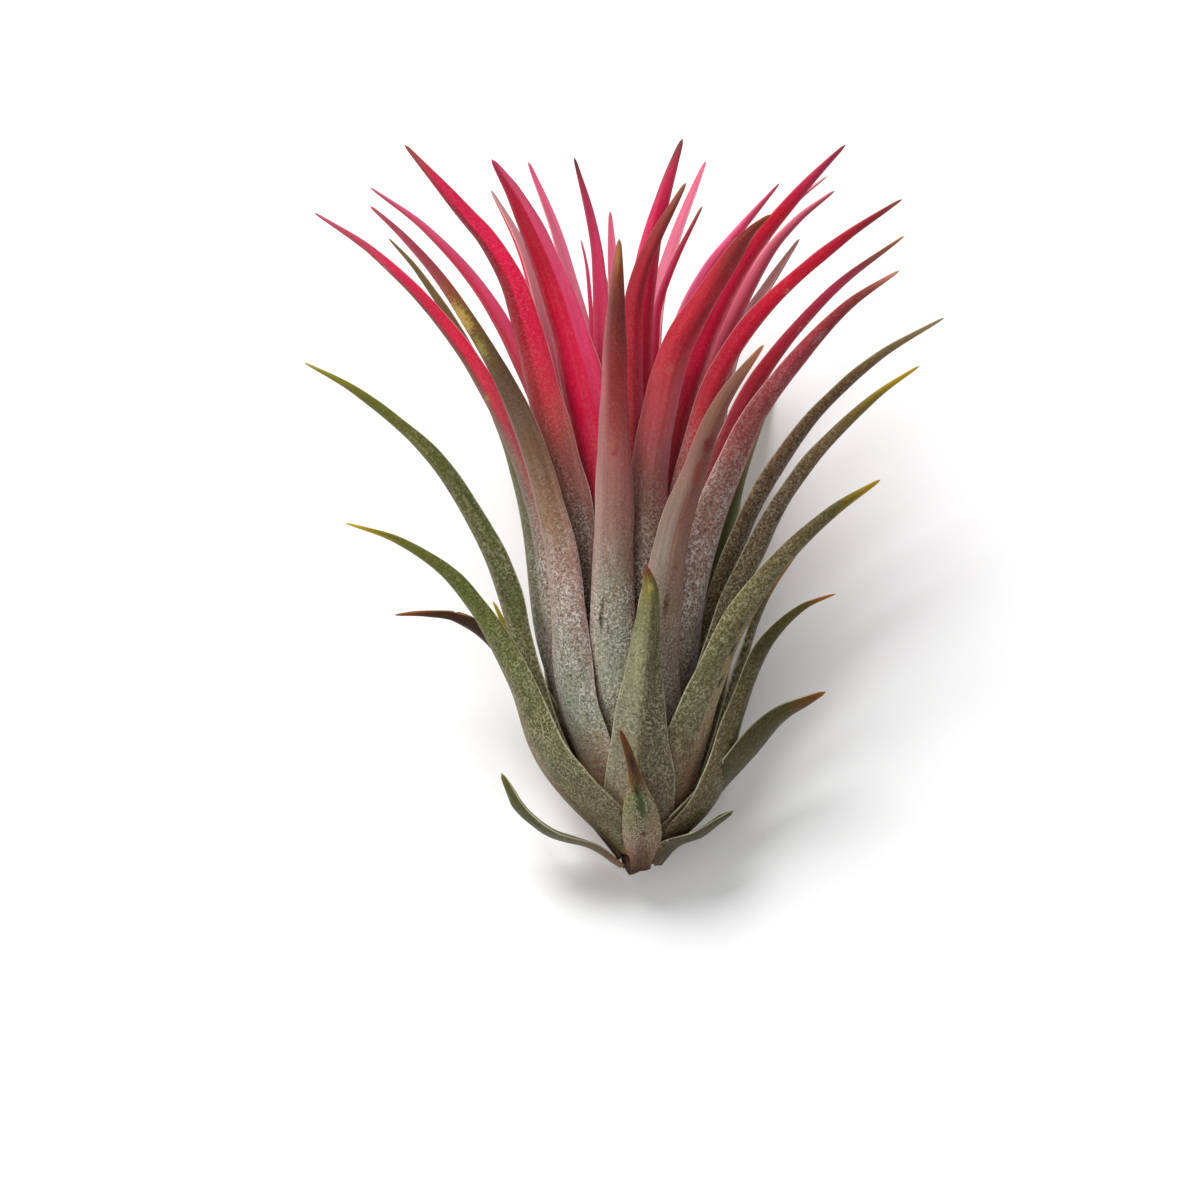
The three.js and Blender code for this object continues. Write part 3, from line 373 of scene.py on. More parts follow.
                 (0.95, "#8A4A40"), (1, "#C8A088")],
        "right": [(0, "foot"), (0.2, "#958A8C"), (0.34, "#9A8890"), (0.46, "#926C72"), (0.58, "#945056"),
                  (0.7, "#90404A"), (0.88, "#7A323C"), (1, "#B88A78")],
        "cover": [(0, 0.2), (0.1, 0.75), (0.2, 1), (0.42, 0.95), (0.55, 0.7), (0.66, 0.3), (0.8, 0.1),
                  (1, 0.05)],
        "marks": [(0.61, 0.1, 3.4, 0.8, "#7A3E34", 0.5), (0.56, 0.4, 2.4, 0.5, "#A0343C", 0.5),
                  (0.83, -0.2, 3, 0.8, "#8A7A74", 0.5)],
    },
    "middle_leaf_05": {
        "back": [(0, "foot"), (0.2, "#847A66"), (0.34, "#5E5042"), (0.46, "#6E4E44"), (0.55, "#8F5350"),
                 (0.64, "#AD4F56"), (0.74, "#A02C3A"), (0.84, "#9C2B37"), (0.91, "#7A2A2C"),
                 (0.965, "#6E3A24"), (1, "#B07A44")],
        "right": [(0, "foot"), (0.3, "#7A5C50"), (0.46, "#8A4E4C"), (0.6, "#B87480"), (0.72, "#B04A58"),
                  (0.84, "#A02438"), (0.93, "#6E2A2A"), (1, "#A8703C")],
        "marks": [(0.7, -0.1, 1.6, 1.2, "#B05A50", 0.6), (0.8, 0.3, 6, 1, "#8E1228", 0.6)],
    },
    "middle_leaf_06": {
        "back": [(0, "foot"), (0.15, "#8A8570"), (0.35, "#7A6F62"), (0.5, "#7E645A"), (0.6, "#80584C"),
                 (0.7, "#7A4438"), (0.82, "#743C36"), (0.92, "#965058"), (1, "#A86878")],
        "right": [(0, "foot"), (0.3, "#7E6A60"), (0.45, "#8A564E"), (0.57, "#A2424C"), (0.7, "#BE2C48"),
                  (0.88, "#B83454"), (1, "#B07080")],
        "fold": 0.2,
        "marks": [(0.9, -0.5, 4, 0.9, "#D8A878", 0.95), (0.87, 0, 2, 0.6, "#B08A5A", 0.5),
                  (0.63, 0.1, 1.6, 1, "#9A8050", 0.6), (0.66, 0.2, 1, 0.8, "#7E2E2C", 0.5)],
    },
    "middle_leaf_07": {
        "back": [(0, "foot"), (0.25, "#70705A"), (0.5, "#66644A"), (0.8, "#5A5232"), (0.93, "#5E5A34"),
                 (1, "#74724A")],
    },
    "middle_leaf_08": {
        "back": [(0, "foot"), (0.3, "#5A4438"), (0.45, "#6E3430"), (0.56, "#93363E"), (0.7, "#A22D3B"),
                 (0.84, "#A8405A"), (0.92, "#84484E"), (0.97, "#8A6A4A"), (1, "#C0A86A")],
        "marks": [(0.8, 0.1, 1.2, 0.5, "#E0B0A0", 0.5), (0.78, -0.2, 0.8, 0.5, "#E0B0A0", 0.5)],
    },
    # its own green deepened by painted shade: it lies behind the leaves in front of it, so most of it is dark
    "middle_leaf_09": {
        "back": [(0, "foot"), (0.3, "#30361E"), (0.55, "#3E4A28"), (0.75, "#4A5630"), (0.9, "#6E7048"),
                 (1, "#A8A080")],
        "right": [(0, "foot"), (0.4, "#4A5232"), (0.75, "#7E9058"), (1, "#A8A080")],
    },
    # painted light and shade on its own crimson: its left facet is dark maroon where shaded, its right facet
    # bright where lit, and it turns dark brown low down where it lies in shade
    "middle_leaf_10": {
        "back": [(0, "foot"), (0.25, "#3A3020"), (0.35, "#54402E"), (0.42, "#5E4636"), (0.48, "#74443A"),
                 (0.54, "#903E38"), (0.6, "#A83640"), (0.68, "#AC2238"), (0.8, "#A01C34"), (0.92, "#A82842"),
                 (1, "#8A5048")],
        "left": [(0, "foot"), (0.25, "#3A3020"), (0.4, "#5A4434"), (0.5, "#7E463C"), (0.58, "#983A3C"),
                 (0.68, "#98202F"), (0.78, "#7E1E2A"), (0.86, "#8A2034"), (0.92, "#AC2844"), (1, "#8A5048")],
        "right": [(0, "foot"), (0.25, "#46382A"), (0.4, "#5E4438"), (0.5, "#8A4640"), (0.58, "#B03A46"),
                  (0.68, "#C02848"), (0.82, "#CC2A56"), (0.95, "#B83450"), (1, "#8A5048")],
        "cover": [(0, 0.2), (0.1, 0.75), (0.2, 0.8), (0.35, 0.6), (0.46, 0.25), (0.58, 0.1), (1, 0.05)],
        "fold": 0.2,
        "keel": 0.2,
        "marks": [(0.87, -0.5, 2.5, 0.8, "#B86450", 0.6)],
    },
    "middle_leaf_11": {
        "back": [(0, "foot"), (0.3, "#6E443C"), (0.42, "#883E3E"), (0.54, "#A2383F"), (0.68, "#B62A40"),
                 (0.8, "#BC2040"), (0.9, "#9E2036"), (0.97, "#8A4044"), (1, "#9C7C56")],
        "marks": [(0.78, 0, 1.2, 1, "#D88878", 0.5)],
    },
    "middle_leaf_12": {
        "back": [(0, "foot"), (0.3, "#7A5A50"), (0.5, "#A8464C"), (0.7, "#9A2838"), (0.85, "#952E3A"),
                 (0.94, "#7A3E38"), (1, "#94705A")],
        "right": [(0, "foot"), (0.4, "#B06068"), (0.6, "#D0607A"), (0.75, "#B83048"), (0.9, "#7E3038"),
                  (1, "#8E6A54")],
    },
    "inner_leaf_01": {
        "back": [(0, "foot"), (0.25, "#6E3A34"), (0.4, "#9A2E3C"), (0.52, "#BE2E46"), (0.66, "#C01E42"),
                 (0.8, "#AE1234"), (0.92, "#9C1230"), (1, "#9C3048")],
        "right": [(0, "foot"), (0.3, "#8A4040"), (0.5, "#C0304E"), (0.7, "#D05070"), (0.85, "#D05A74"),
                  (1, "#A04A58")],
        "fold": 0.35,
    },
    "inner_leaf_02": {
        "back": [(0, "foot"), (0.35, "#804840"), (0.55, "#A83A42"), (0.8, "#BE3049"), (0.95, "#B04858"),
                 (1, "#A86870")],
        "right": [(0, "foot"), (0.4, "#A06058"), (0.7, "#CC5470"), (0.95, "#C86078"), (1, "#B87880")],
    },
    "inner_leaf_03": {
        "back": [(0, "foot"), (0.3, "#7A443C"), (0.48, "#B43E4A"), (0.66, "#C42646"), (0.86, "#B61635"),
                 (0.95, "#A43850"), (1, "#8A4048")],
    },
    "inner_leaf_04": {
        "back": [(0, "foot"), (0.3, "#7A443C"), (0.5, "#A03A44"), (0.7, "#A02C3E"), (0.9, "#A83850"),
                 (1, "#9A4A50")],
        "left": [(0, "foot"), (0.5, "#C86070"), (0.7, "#D07080"), (1, "#D88890")],
    },
    "inner_leaf_05": {
        "back": [(0, "foot"), (0.4, "#A04A50"), (0.6, "#B83048"), (0.8, "#B01C3C"), (0.93, "#B93652"),
                 (0.98, "#7A4040"), (1, "#5A3C34")],
        "left": [(0, "foot"), (0.5, "#C84860"), (0.85, "#D04868"), (1, "#6A4038")],
    },
    "inner_leaf_06": {
        "back": [(0, "foot"), (0.5, "#B84058"), (0.8, "#D42C58"), (0.92, "#C44858"), (0.98, "#A05848"),
                 (1, "#7A5038")],
        "left": [(0, "foot"), (0.5, "#D86080"), (0.85, "#E0607E"), (1, "#9A5848")],
    },
    "inner_leaf_07": {
        "back": [(0, "foot"), (0.5, "#B44458"), (0.8, "#B43454"), (0.95, "#A0304C"), (1, "#4E2A28")],
        "right": [(0, "foot"), (0.5, "#C05468"), (0.85, "#B84460"), (1, "#6A3030")],
    },
    "inner_leaf_08": {
        "back": [(0, "foot"), (0.5, "#A83048"), (0.9, "#C04060"), (1, "#B05060")],
    },
    "inner_leaf_09": {
        "back": [(0, "foot"), (0.4, "#A84450"), (0.65, "#C83C5C"), (0.9, "#C41E48"), (1, "#A83850")],
        "left": [(0, "foot"), (0.4, "#C86880"), (0.65, "#E87C9C"), (0.9, "#E27090"), (1, "#B85068")],
    },
    "inner_leaf_13": {
        "hollow": [(0, "foot"), (0.4, "#B05A60"), (0.65, "#C0707C"), (0.85, "#B87E82"), (1, "#B49088")],
    },
    "inner_leaf_14": {
        "hollow": [(0, "foot"), (0.4, "#B05A60"), (0.7, "#C8606E"), (0.95, "#D07C84"), (1, "#B87070")],
    },
    "inner_leaf_15": {
        "back": [(0, "foot"), (0.5, "#7A5A52"), (0.85, "#8E6A66"), (1, "#7A5A50")],
        "hollow": [(0, "foot"), (0.5, "#8A625A"), (0.85, "#A07A74"), (1, "#8A6458")],
    },
}

# Outer faces of the leaves that have no colours of their own above
LOW_BACK = [(0, "foot"), (0.12, "#8A8570"), (0.4, "#7C7A5C"), (0.7, "#6D6E44"), (0.93, "#8A8C48"),
            (1, "straw")]
HIGH_BACK = [(0, "foot"), (0.12, "silver"), (0.35, "grey"), (0.55, "mauve"), (0.72, "rosewood"),
             (0.9, "#A83A4C"), (1, "#8A5A4C")]
INNER_BACK = [(0, "foot"), (0.3, "#8A6458"), (0.5, "rosewood"), (0.75, "#B83450"), (0.95, "rose"),
              (1, "#8A4A4C")]

# Numbers

def smoothstep(value, low, high):
    share = np.clip((value - low) / (high - low), 0, 1)
    return share * share * (3 - 2 * share)


def mix(a, b, share):
    return a + (b - a) * share


def unit(vectors):
    return vectors / np.maximum(np.linalg.norm(vectors, axis=-1, keepdims=True), 1e-9)


def to_linear(colour):
    code = COLOURS.get(colour, colour).lstrip("#")
    parts = np.array([int(code[i:i + 2], 16) / 255 for i in (0, 2, 4)])
    return np.where(parts <= 0.04045, parts / 12.92, ((parts + 0.055) / 1.055) ** 2.4)


def ramp(stops, along):
    places = [place for place, _ in stops]
    shades = np.array([to_linear(shade) for _, shade in stops])
    return np.stack([np.interp(along, places, shades[:, i]) for i in range(3)], axis=-1)


def smooth_noise(x, y, seed):
    """Noise between -1 and 1 that changes over about one unit of x and y."""
    cell_x, cell_y = np.floor(x), np.floor(y)

    def corner(step_x, step_y):
        mixed = (cell_x + step_x) * 127.1 + (cell_y + step_y) * 311.7 + seed * 74.7
        return (np.sin(mixed) * 43758.5453) % 1

    share_x, share_y = smoothstep(x - cell_x, 0, 1), smoothstep(y - cell_y, 0, 1)
    low = mix(corner(0, 0), corner(1, 0), share_x)
    high = mix(corner(0, 1), corner(1, 1), share_x)
    return 2 * mix(low, high, share_y) - 1


# Form of a leaf, by the same rules as its solid

SHEATH_STRETCH = (8, 34)  # where a sheath narrows to its blade, in mm from the root
TAPER_FROM = 0.25  # share of the length at which a blade begins to narrow
TAPER_SHAPE = 0.8  # lower keeps it wide for longer
EDGE_SHAPE = 0.62  # how round the long edges are
MOST_CURVED = 0.95  # greatest share of half the width to the radius across it
POINT = 0.7  # length of the blunt point at the tip, in mm
RIB_HEIGHT = 0.03
SWELL_HEIGHT = 0.07
EDGE_WAVE = 0.05  # how far the edges wander, as a share of the width


def to_row(points):
    """From the plant's own frame to the way it lies, still in mm."""
    cos, sin = math.cos(LIE_ANGLE), math.sin(LIE_ANGLE)
    x, y, z = points[..., 0], points[..., 1], points[..., 2]
    return np.stack([
        x - FOOTPRINT_MIDDLE[0],
        y * cos - z * sin - FOOTPRINT_MIDDLE[1],
        y * sin + z * cos + SURFACE_BEHIND_FOOT * cos,
    ], axis=-1)


def stem_radius(height):
    radii, heights = zip(*STEM_OUTLINE[1:])
    return np.interp(height, heights, radii)


def round_stem(radius, angle, height):
    return np.stack([radius * np.sin(angle), height, radius * np.cos(angle)], axis=-1).reshape(-1, 3)


def middle_line(leaf, count):
    """Places and directions along the middle of a leaf, evenly spaced, and its length."""
    points = []
    for x, y, z in leaf["path"]:
        nearer = 1 - z / VIEWER[2]
        points.append((mix(VIEWER[0], x, nearer), mix(VIEWER[1], y, nearer), z))
    way = math.atan2(points[0][0], points[0][2])
    reach = stem_radius(leaf["root"]) + GAP + ROOT_THICKNESS / 2
    points.insert(0, (reach * math.sin(way), leaf["root"], reach * math.cos(way)))
    p = np.array(points, float)
    p = np.vstack([2 * p[0] - p[1], p, 2 * p[-1] - p[-2]])
    steps = np.linspace(0, 1, 120, endpoint=False)[:, None]
    curve = []
    for i in range(1, len(p) - 2):
        before, start, end, after = p[i - 1:i + 3]
        gap_before, gap, gap_after = (
            np.linalg.norm(b - a) ** 0.5 for a, b in ((before, start), (start, end), (end, after))
        )
        leave = gap * (
            (start - before) / gap_before - (end - before) / (gap_before + gap) + (end - start) / gap
        )
        arrive = gap * (
            (end - start) / gap - (after - start) / (gap + gap_after) + (after - end) / gap_after
        )
        curve.append(
            start + leave * steps
            + (3 * (end - start) - 2 * leave - arrive) * steps ** 2
            + (2 * (start - end) + leave + arrive) * steps ** 3
        )
    curve = np.vstack(curve + [p[-2:-1]])
    travelled = np.concatenate([[0], np.cumsum(np.linalg.norm(np.diff(curve, axis=0), axis=1))])
    length = travelled[-1]
    wanted = np.linspace(0, length, count)
    places = np.stack([np.interp(wanted, travelled, curve[:, i]) for i in range(3)], axis=-1)
    return places, unit(np.gradient(places, axis=0)), length


def leaf_surface(name, leaf, rings, outer_count, inner_count):
    """Points of a leaf, ring by ring, its tip last, and where each of them is on the leaf."""
    seed = sum(ord(letter) * (i + 1) for i, letter in enumerate(name)) % 997
    place, forward, length = middle_line(leaf, rings + 1)
    along = np.linspace(0, 1, rings + 1)
    distance = along * length
    radial = np.hypot(place[:, 0], place[:, 2])
    free = smoothstep(distance, *CLASP)
    side = math.radians(leaf["side"])
    face = np.stack([
        mix(place[:, 0] / radial, math.sin(side), free),
        np.zeros(rings + 1),
        mix(place[:, 2] / radial, math.cos(side), free),
    ], axis=-1)
    across = np.cross(np.array([0.0, 1.0, 0.0]), face)
    across = unit(across - forward * np.sum(across * forward, axis=1, keepdims=True))
    inward = np.cross(forward, across)
    growth = mix(0.5, 1, smoothstep(distance, 0, 6 + 0.7 * leaf["root"]))
    base_sheath = leaf.get("sheath", 1.3 if leaf["root"] < LOW_ROOT else 1)
    sheath = mix(base_sheath, 1, smoothstep(distance, *SHEATH_STRETCH))
    past = np.clip((along - TAPER_FROM) / (1 - TAPER_FROM), 0, 1)
    taper = (1 - past ** leaf.get("full", FULLNESS)) ** TAPER_SHAPE
    taper = taper * mix(1, LOOKS.get(name, {}).get("slim", 1), smoothstep(along, 0.45, 0.7))
    half = leaf["width"] / 2 * taper * growth * sheath
    # the edges of a grown leaf are never quite straight
    uneven = 1 + EDGE_WAVE * smooth_noise(distance / 7, along * 0, seed)
    # a fine blunt point: the last of the leaf keeps some width
    left_over = np.maximum(length - distance, 0)
    half = half * uneven + 0.2 * smoothstep(along, 0.7, 0.95)
    half = half * np.sqrt(np.minimum(1, left_over / POINT))
    clasping = radial / np.maximum(0.35, forward[:, 1])
    radius = np.maximum(mix(clasping, half / math.sin(CHANNEL_ANGLE), free), half / MOST_CURVED)
    thickness = mix(ROOT_THICKNESS, LEAF_THICKNESS, smoothstep(distance, 0, 14))
    depth = np.minimum(thickness, np.maximum(0.2, half * 0.8))

    outer = np.sin(np.linspace(-math.pi / 2, math.pi / 2, outer_count))
    inner = np.sin(np.linspace(-math.pi / 2, math.pi / 2, inner_count + 2))[1:-1][::-1]
    stop = np.concatenate([outer, inner])
    outward = np.concatenate([np.ones(outer_count), -np.ones(inner_count)])
    reach = np.arcsin(np.minimum(MOST_CURVED, half / np.maximum(radius, 1e-6)))[:, None]
    half_depth = depth[:, None] / 2 * np.maximum(0.0, 1 - stop ** 2) ** EDGE_SHAPE
    # a low keel along the back, and fine ribs on both faces
    keel = LOOKS.get(name, {}).get("keel", 0.08)
    fold = np.maximum(0, 1 - np.abs(stop) / 0.55) - 0.45 * np.exp(-((np.abs(stop) - 0.62) / 0.2) ** 2)
    ridge = keel * fold * (outward > 0) * np.minimum(1, half / 2)[:, None]
    rib_drift = smooth_noise(distance[:, None] / 20, stop * 3, seed)
    ribs = RIB_HEIGHT * np.sin(stop * half[:, None] * 7 + 2 * rib_drift)
    swell = SWELL_HEIGHT * smooth_noise(distance[:, None] / 4.5, stop * 1.5 + outward * 9, seed + 5)
    relief = (ridge + (ribs + swell) * (1 - stop ** 4)) * smoothstep(distance, 2, 10)[:, None]
    relief = relief * np.minimum(1, half / 1.5)[:, None]
    curl = EDGE_WAVE * smooth_noise(distance[:, None] / 5, np.sign(stop) * 3, seed + 9) * np.abs(stop) ** 3
    arc = stop * reach * (1 + curl)
    shell = radius[:, None] + outward * (half_depth + relief)
    points = (
        place[:, None]
        + across[:, None] * (shell * np.sin(arc))[..., None]
        + inward[:, None] * (radius[:, None] - shell * np.cos(arc))[..., None]
    )
    points = np.vstack([points[:-1].reshape(-1, 3), place[-1:]])
    columns = len(stop)

    def spread(values):
        return np.concatenate([np.repeat(values[:-1], columns), values[-1:]])

    facts = {
        "along": spread(along),
        "distance": spread(distance),
        "half": spread(half),
        "stop": np.concatenate([np.tile(stop, rings), [0.0]]),
        "outward": np.concatenate([np.tile(outward, rings), [1.0]]),
        "length": length,
        "seed": seed,
    }
    return points, facts, columns


def grid_faces(rows, columns, closed):
    """Faces between rows of points; closed joins the last point of each row to its first."""
    spans = np.arange(columns if closed else columns - 1)
    row, column = np.meshgrid(np.arange(rows - 1), spans, indexing="ij")
    this = (row * columns + column).ravel()
    following = (row * columns + (column + 1) % columns).ravel()
    return np.stack([this, following, following + columns, this + columns], axis=-1)


def leaf_faces(rings, columns):
    last = (rings - 1) * columns
    turn = np.arange(columns)
    tip = np.full(columns, rings * columns)
    triangles = np.stack([last + turn, last + (turn + 1) % columns, tip], axis=-1)
    root = np.arange(columns)[::-1]
    return [grid_faces(rings, columns, True), triangles, root[None, :]]


def press_to_solid(points, solid, slack):
    """Keeps points from standing further out of the leaf's solid than slack, both in mm."""
    tree = mathutils.bvhtree.BVHTree.FromObject(solid, bpy.context.evaluated_depsgraph_get())
    pressed = points.copy()
    for i, point in enumerate(points / 1000):
        near, normal, _, gap = tree.find_nearest(mathutils.Vector(point))
        out = mathutils.Vector(point) - near
        if gap * 1000 > slack and out.dot(normal) > 0:
            pressed[i] = np.array(near + out * (slack / (gap * 1000))) * 1000
    return pressed


# Colours on a leaf

CROWN_HEIGHT = 78  # in mm from the foot
# For each class of leaf: how much more saturated its skin is than its tints, and how strong its red,
# green and blue are low down and high up
SKIN_DEPTH = {
    "outer": (1.3, (0.74, 0.64, 0.52), (0.72, 0.62, 0.48)),
    "back": (1.3, (0.8, 0.76, 0.7), (1.0, 0.84, 0.85)),
    "middle": (1.22, (0.98, 0.94, 0.88), (1.0, 0.68, 0.7)),
    "inner": (1.2, (0.98, 0.92, 0.92), (1.0, 0.88, 0.98)),
    "dry": (1.2, (0.88, 0.76, 0.62), (0.54, 0.45, 0.3)),
}


def leaf_class(name):
    return name.split("_leaf")[0]


def default_look(name, leaf):
    kind = leaf_class(name)
    if kind == "inner":
        return dict(back=INNER_BACK, hollow=INNER_HOLLOW, cover=INNER_COVER)
    # a leaf at the back that reaches into the crown is coloured as the crown is
    reaches_crown = max(y for _, y, _ in leaf["path"]) > CROWN_HEIGHT
    if kind == "middle" or kind == "back" and reaches_crown:
        return dict(back=HIGH_BACK, hollow=MIDDLE_HOLLOW, cover=MIDDLE_COVER)
    return dict(back=LOW_BACK, hollow=OUTER_HOLLOW, cover=MIDDLE_COVER if kind == "back" else OUTER_COVER)


def leaf_colours(name, leaf, facts):
    look = {**default_look(name, leaf), **LOOKS.get(name, {})}
    along, stop, outward = facts["along"], facts["stop"], facts["outward"]
    distance, half, seed = facts["distance"], facts["half"], facts["seed"]
    wander = 0.025 * smooth_noise(distance / 9, stop * 2.2, seed + 3)
    wander += 0.012 * smooth_noise(distance / 2.5, stop * 5, seed + 4)
    place = np.clip(along + wander, 0, 1)
    back = ramp(look["back"], place)
    # painted light and shade: the left and right colours make one side of a leaf lighter and the other
    # darker, split sharply at the fold or blended across the face
    for key, way in (("left", -1), ("right", 1)):
        if key in look:
            if "fold" in look:
                meeting = look["fold"] + 0.08 * smooth_noise(distance / 8, along * 0, seed + 7)
                share = smoothstep((stop - meeting) * way, -0.06, 0.06)
            else:
                share = smoothstep(stop * way, 0.1, 0.85)
            back = mix(back, ramp(look[key], place), share[:, None])
    kind = leaf_class(name)
    if kind in ("middle", "inner"):
        blushed = 0.45 * smoothstep(np.abs(stop), 0.4, 0.95) * smoothstep(along, 0.15, 0.3)
        blushed = blushed * smoothstep(along, 0.62, 0.45)
        back = mix(back, to_linear("#93706C"), blushed[:, None])
    colour = np.where(outward[:, None] > 0, back, ramp(look["hollow"], place))
    # faint darker and paler stripes run up the leaf, and patches lie across them
    stripes = smooth_noise(stop * half * 2.2 + 20, distance / 25, seed + 1)
    patches = smooth_noise(distance / 5, stop * 2, seed + 2)
    colour = colour * (1 + 0.1 * stripes + 0.08 * patches)[:, None]
    # the tints are as they show in the light, so the skin under its sheen is deeper
    depth, low_tone, high_tone = SKIN_DEPTH[kind]
    grey = (colour @ np.array([0.2126, 0.7152, 0.0722]))[:, None]
    colour = np.maximum(0, mix(grey, colour, depth))
    higher = smoothstep(along, 0.55, 0.8)[:, None]
    colour = colour * mix(np.array(low_tone), np.array(high_tone), higher)
    # thin pale edges, stronger where the leaf is coloured
    rim = to_linear({"outer": "#C9C2A0", "dry": "#B08458"}.get(kind, "#E6C3BA"))
    pale = smoothstep(np.abs(stop), 0.94, 0.995) * smoothstep(along, 0.08, 0.3)
    pale = pale * (0.75 + 0.25 * smooth_noise(distance / 3, stop, seed + 6))
    colour = mix(colour, rim, (0.85 * pale)[:, None])
    scar = np.zeros((len(along), 4))
    for place_on, across_on, long_mm, wide_mm, shade, strength in look.get("marks", []):
        reach = ((distance - place_on * facts["length"]) / (long_mm / 2)) ** 2
        reach = reach + ((stop * half - across_on * np.maximum(half, 0.5)) / (wide_mm / 2)) ** 2
        strong = strength * np.exp(-reach * 0.8) * (outward > 0)
        scar[:, :3] = np.where(strong[:, None] > scar[:, 3:], to_linear(shade), scar[:, :3])
        scar[:, 3] = np.maximum(scar[:, 3], strong)
    cover = np.interp(along, *zip(*look["cover"]))
    cover = cover * np.where(outward > 0, 1.0, 0.6)
    return np.clip(colour, 0, 1), scar, cover


# Meshes

def new_object(name, points, face_groups, material):
    mesh = bpy.data.meshes.new(name)
    counts = np.concatenate([np.full(len(group), group.shape[1]) for group in face_groups])
    corners = np.concatenate([group.ravel() for group in face_groups])
    mesh.vertices.add(len(points))
    mesh.vertices.foreach_set("co", (points / 1000).ravel())
    mesh.loops.add(len(corners))
    mesh.loops.foreach_set("vertex_index", corners)
    mesh.polygons.add(len(counts))
    mesh.polygons.foreach_set("loop_start", np.concatenate([[0], np.cumsum(counts)[:-1]]))
    mesh.update(calc_edges=True)
    mesh.validate()
    mesh.polygons.foreach_set("use_smooth", np.ones(len(mesh.polygons), bool))
    mesh.materials.append(material)
    made = bpy.data.objects.new(name, mesh)
    bpy.context.collection.objects.link(made)
    return made


def add_colours(made, tint, scar, cover, place):
    mesh = made.data
    opaque = np.concatenate([tint, np.ones((len(tint), 1))], axis=1)
    mesh.color_attributes.new("tint", "FLOAT_COLOR", "POINT").data.foreach_set("color", opaque.ravel())
    mesh.color_attributes.new("scar", "FLOAT_COLOR", "POINT").data.foreach_set("color", scar.ravel())
    mesh.attributes.new("cover", "FLOAT", "POINT").data.foreach_set("value", cover)
    mesh.attributes.new("leaf_mm", "FLOAT_VECTOR", "POINT").data.foreach_set("vector", place.ravel())


# Materials

class Nodes:
    """Short ways to add shader nodes to one material."""

    def __init__(self, name):
        self.material = bpy.data.materials.new(name)
        self.material.use_nodes = True
        self.tree = self.material.node_tree
        self.shader = self.tree.nodes["Principled BSDF"]

    def put(self, socket, value):
        if isinstance(value, bpy.types.NodeSocket):
            self.tree.links.new(value, socket)
        else:
            socket.default_value = value

    def add(self, kind, settings=None, **inputs):
        node = self.tree.nodes.new(kind)
        for key, value in (settings or {}).items():
            setattr(node, key, value)
        for key, value in inputs.items():
            self.put(node.inputs[key], value)
        return node

    def attribute(self, name, output):
        return self.add("ShaderNodeAttribute", {"attribute_name": name}).outputs[output]

    def math(self, operation, first, second=0.0):
        node = self.add("ShaderNodeMath", {"operation": operation})
        self.put(node.inputs[0], first)
        self.put(node.inputs[1], second)
        return node.outputs[0]

    def stretch(self, vector, scale):
        node = self.add("ShaderNodeVectorMath", {"operation": "MULTIPLY"})
        self.put(node.inputs[0], vector)
        self.put(node.inputs[1], scale)
        return node.outputs[0]

    def noise(self, vector, scale, detail=2.0, distortion=0.0):
        node = self.add("ShaderNodeTexNoise", Scale=scale, Detail=detail, Distortion=distortion)
        self.put(node.inputs["Vector"], vector)
        return node.outputs["Fac"]

    def band(self, value, low, high, bottom=0.0, top=1.0):
        node = self.add("ShaderNodeMapRange", {"interpolation_type": "SMOOTHSTEP"})
        self.put(node.inputs["Value"], value)
        for key, number in (("From Min", low), ("From Max", high), ("To Min", bottom), ("To Max", top)):
            self.put(node.inputs[key], number)
        return node.outputs["Result"]

    def blend(self, share, first, second, kind="MIX"):
        node = self.add("ShaderNodeMix", {"data_type": "RGBA", "blend_type": kind})
        self.put(node.inputs[0], share)
        self.put(node.inputs[6], first)
        self.put(node.inputs[7], second)
        return node.outputs[2]

    def bump(self, height, distance, strength, below=None):
        node = self.add("ShaderNodeBump", Distance=distance, Strength=strength)
        self.put(node.inputs["Height"], height)
        if below is not None:
            self.put(node.inputs["Normal"], below)
        return node.outputs["Normal"]


def rgba(colour):
    return (*to_linear(colour), 1.0)


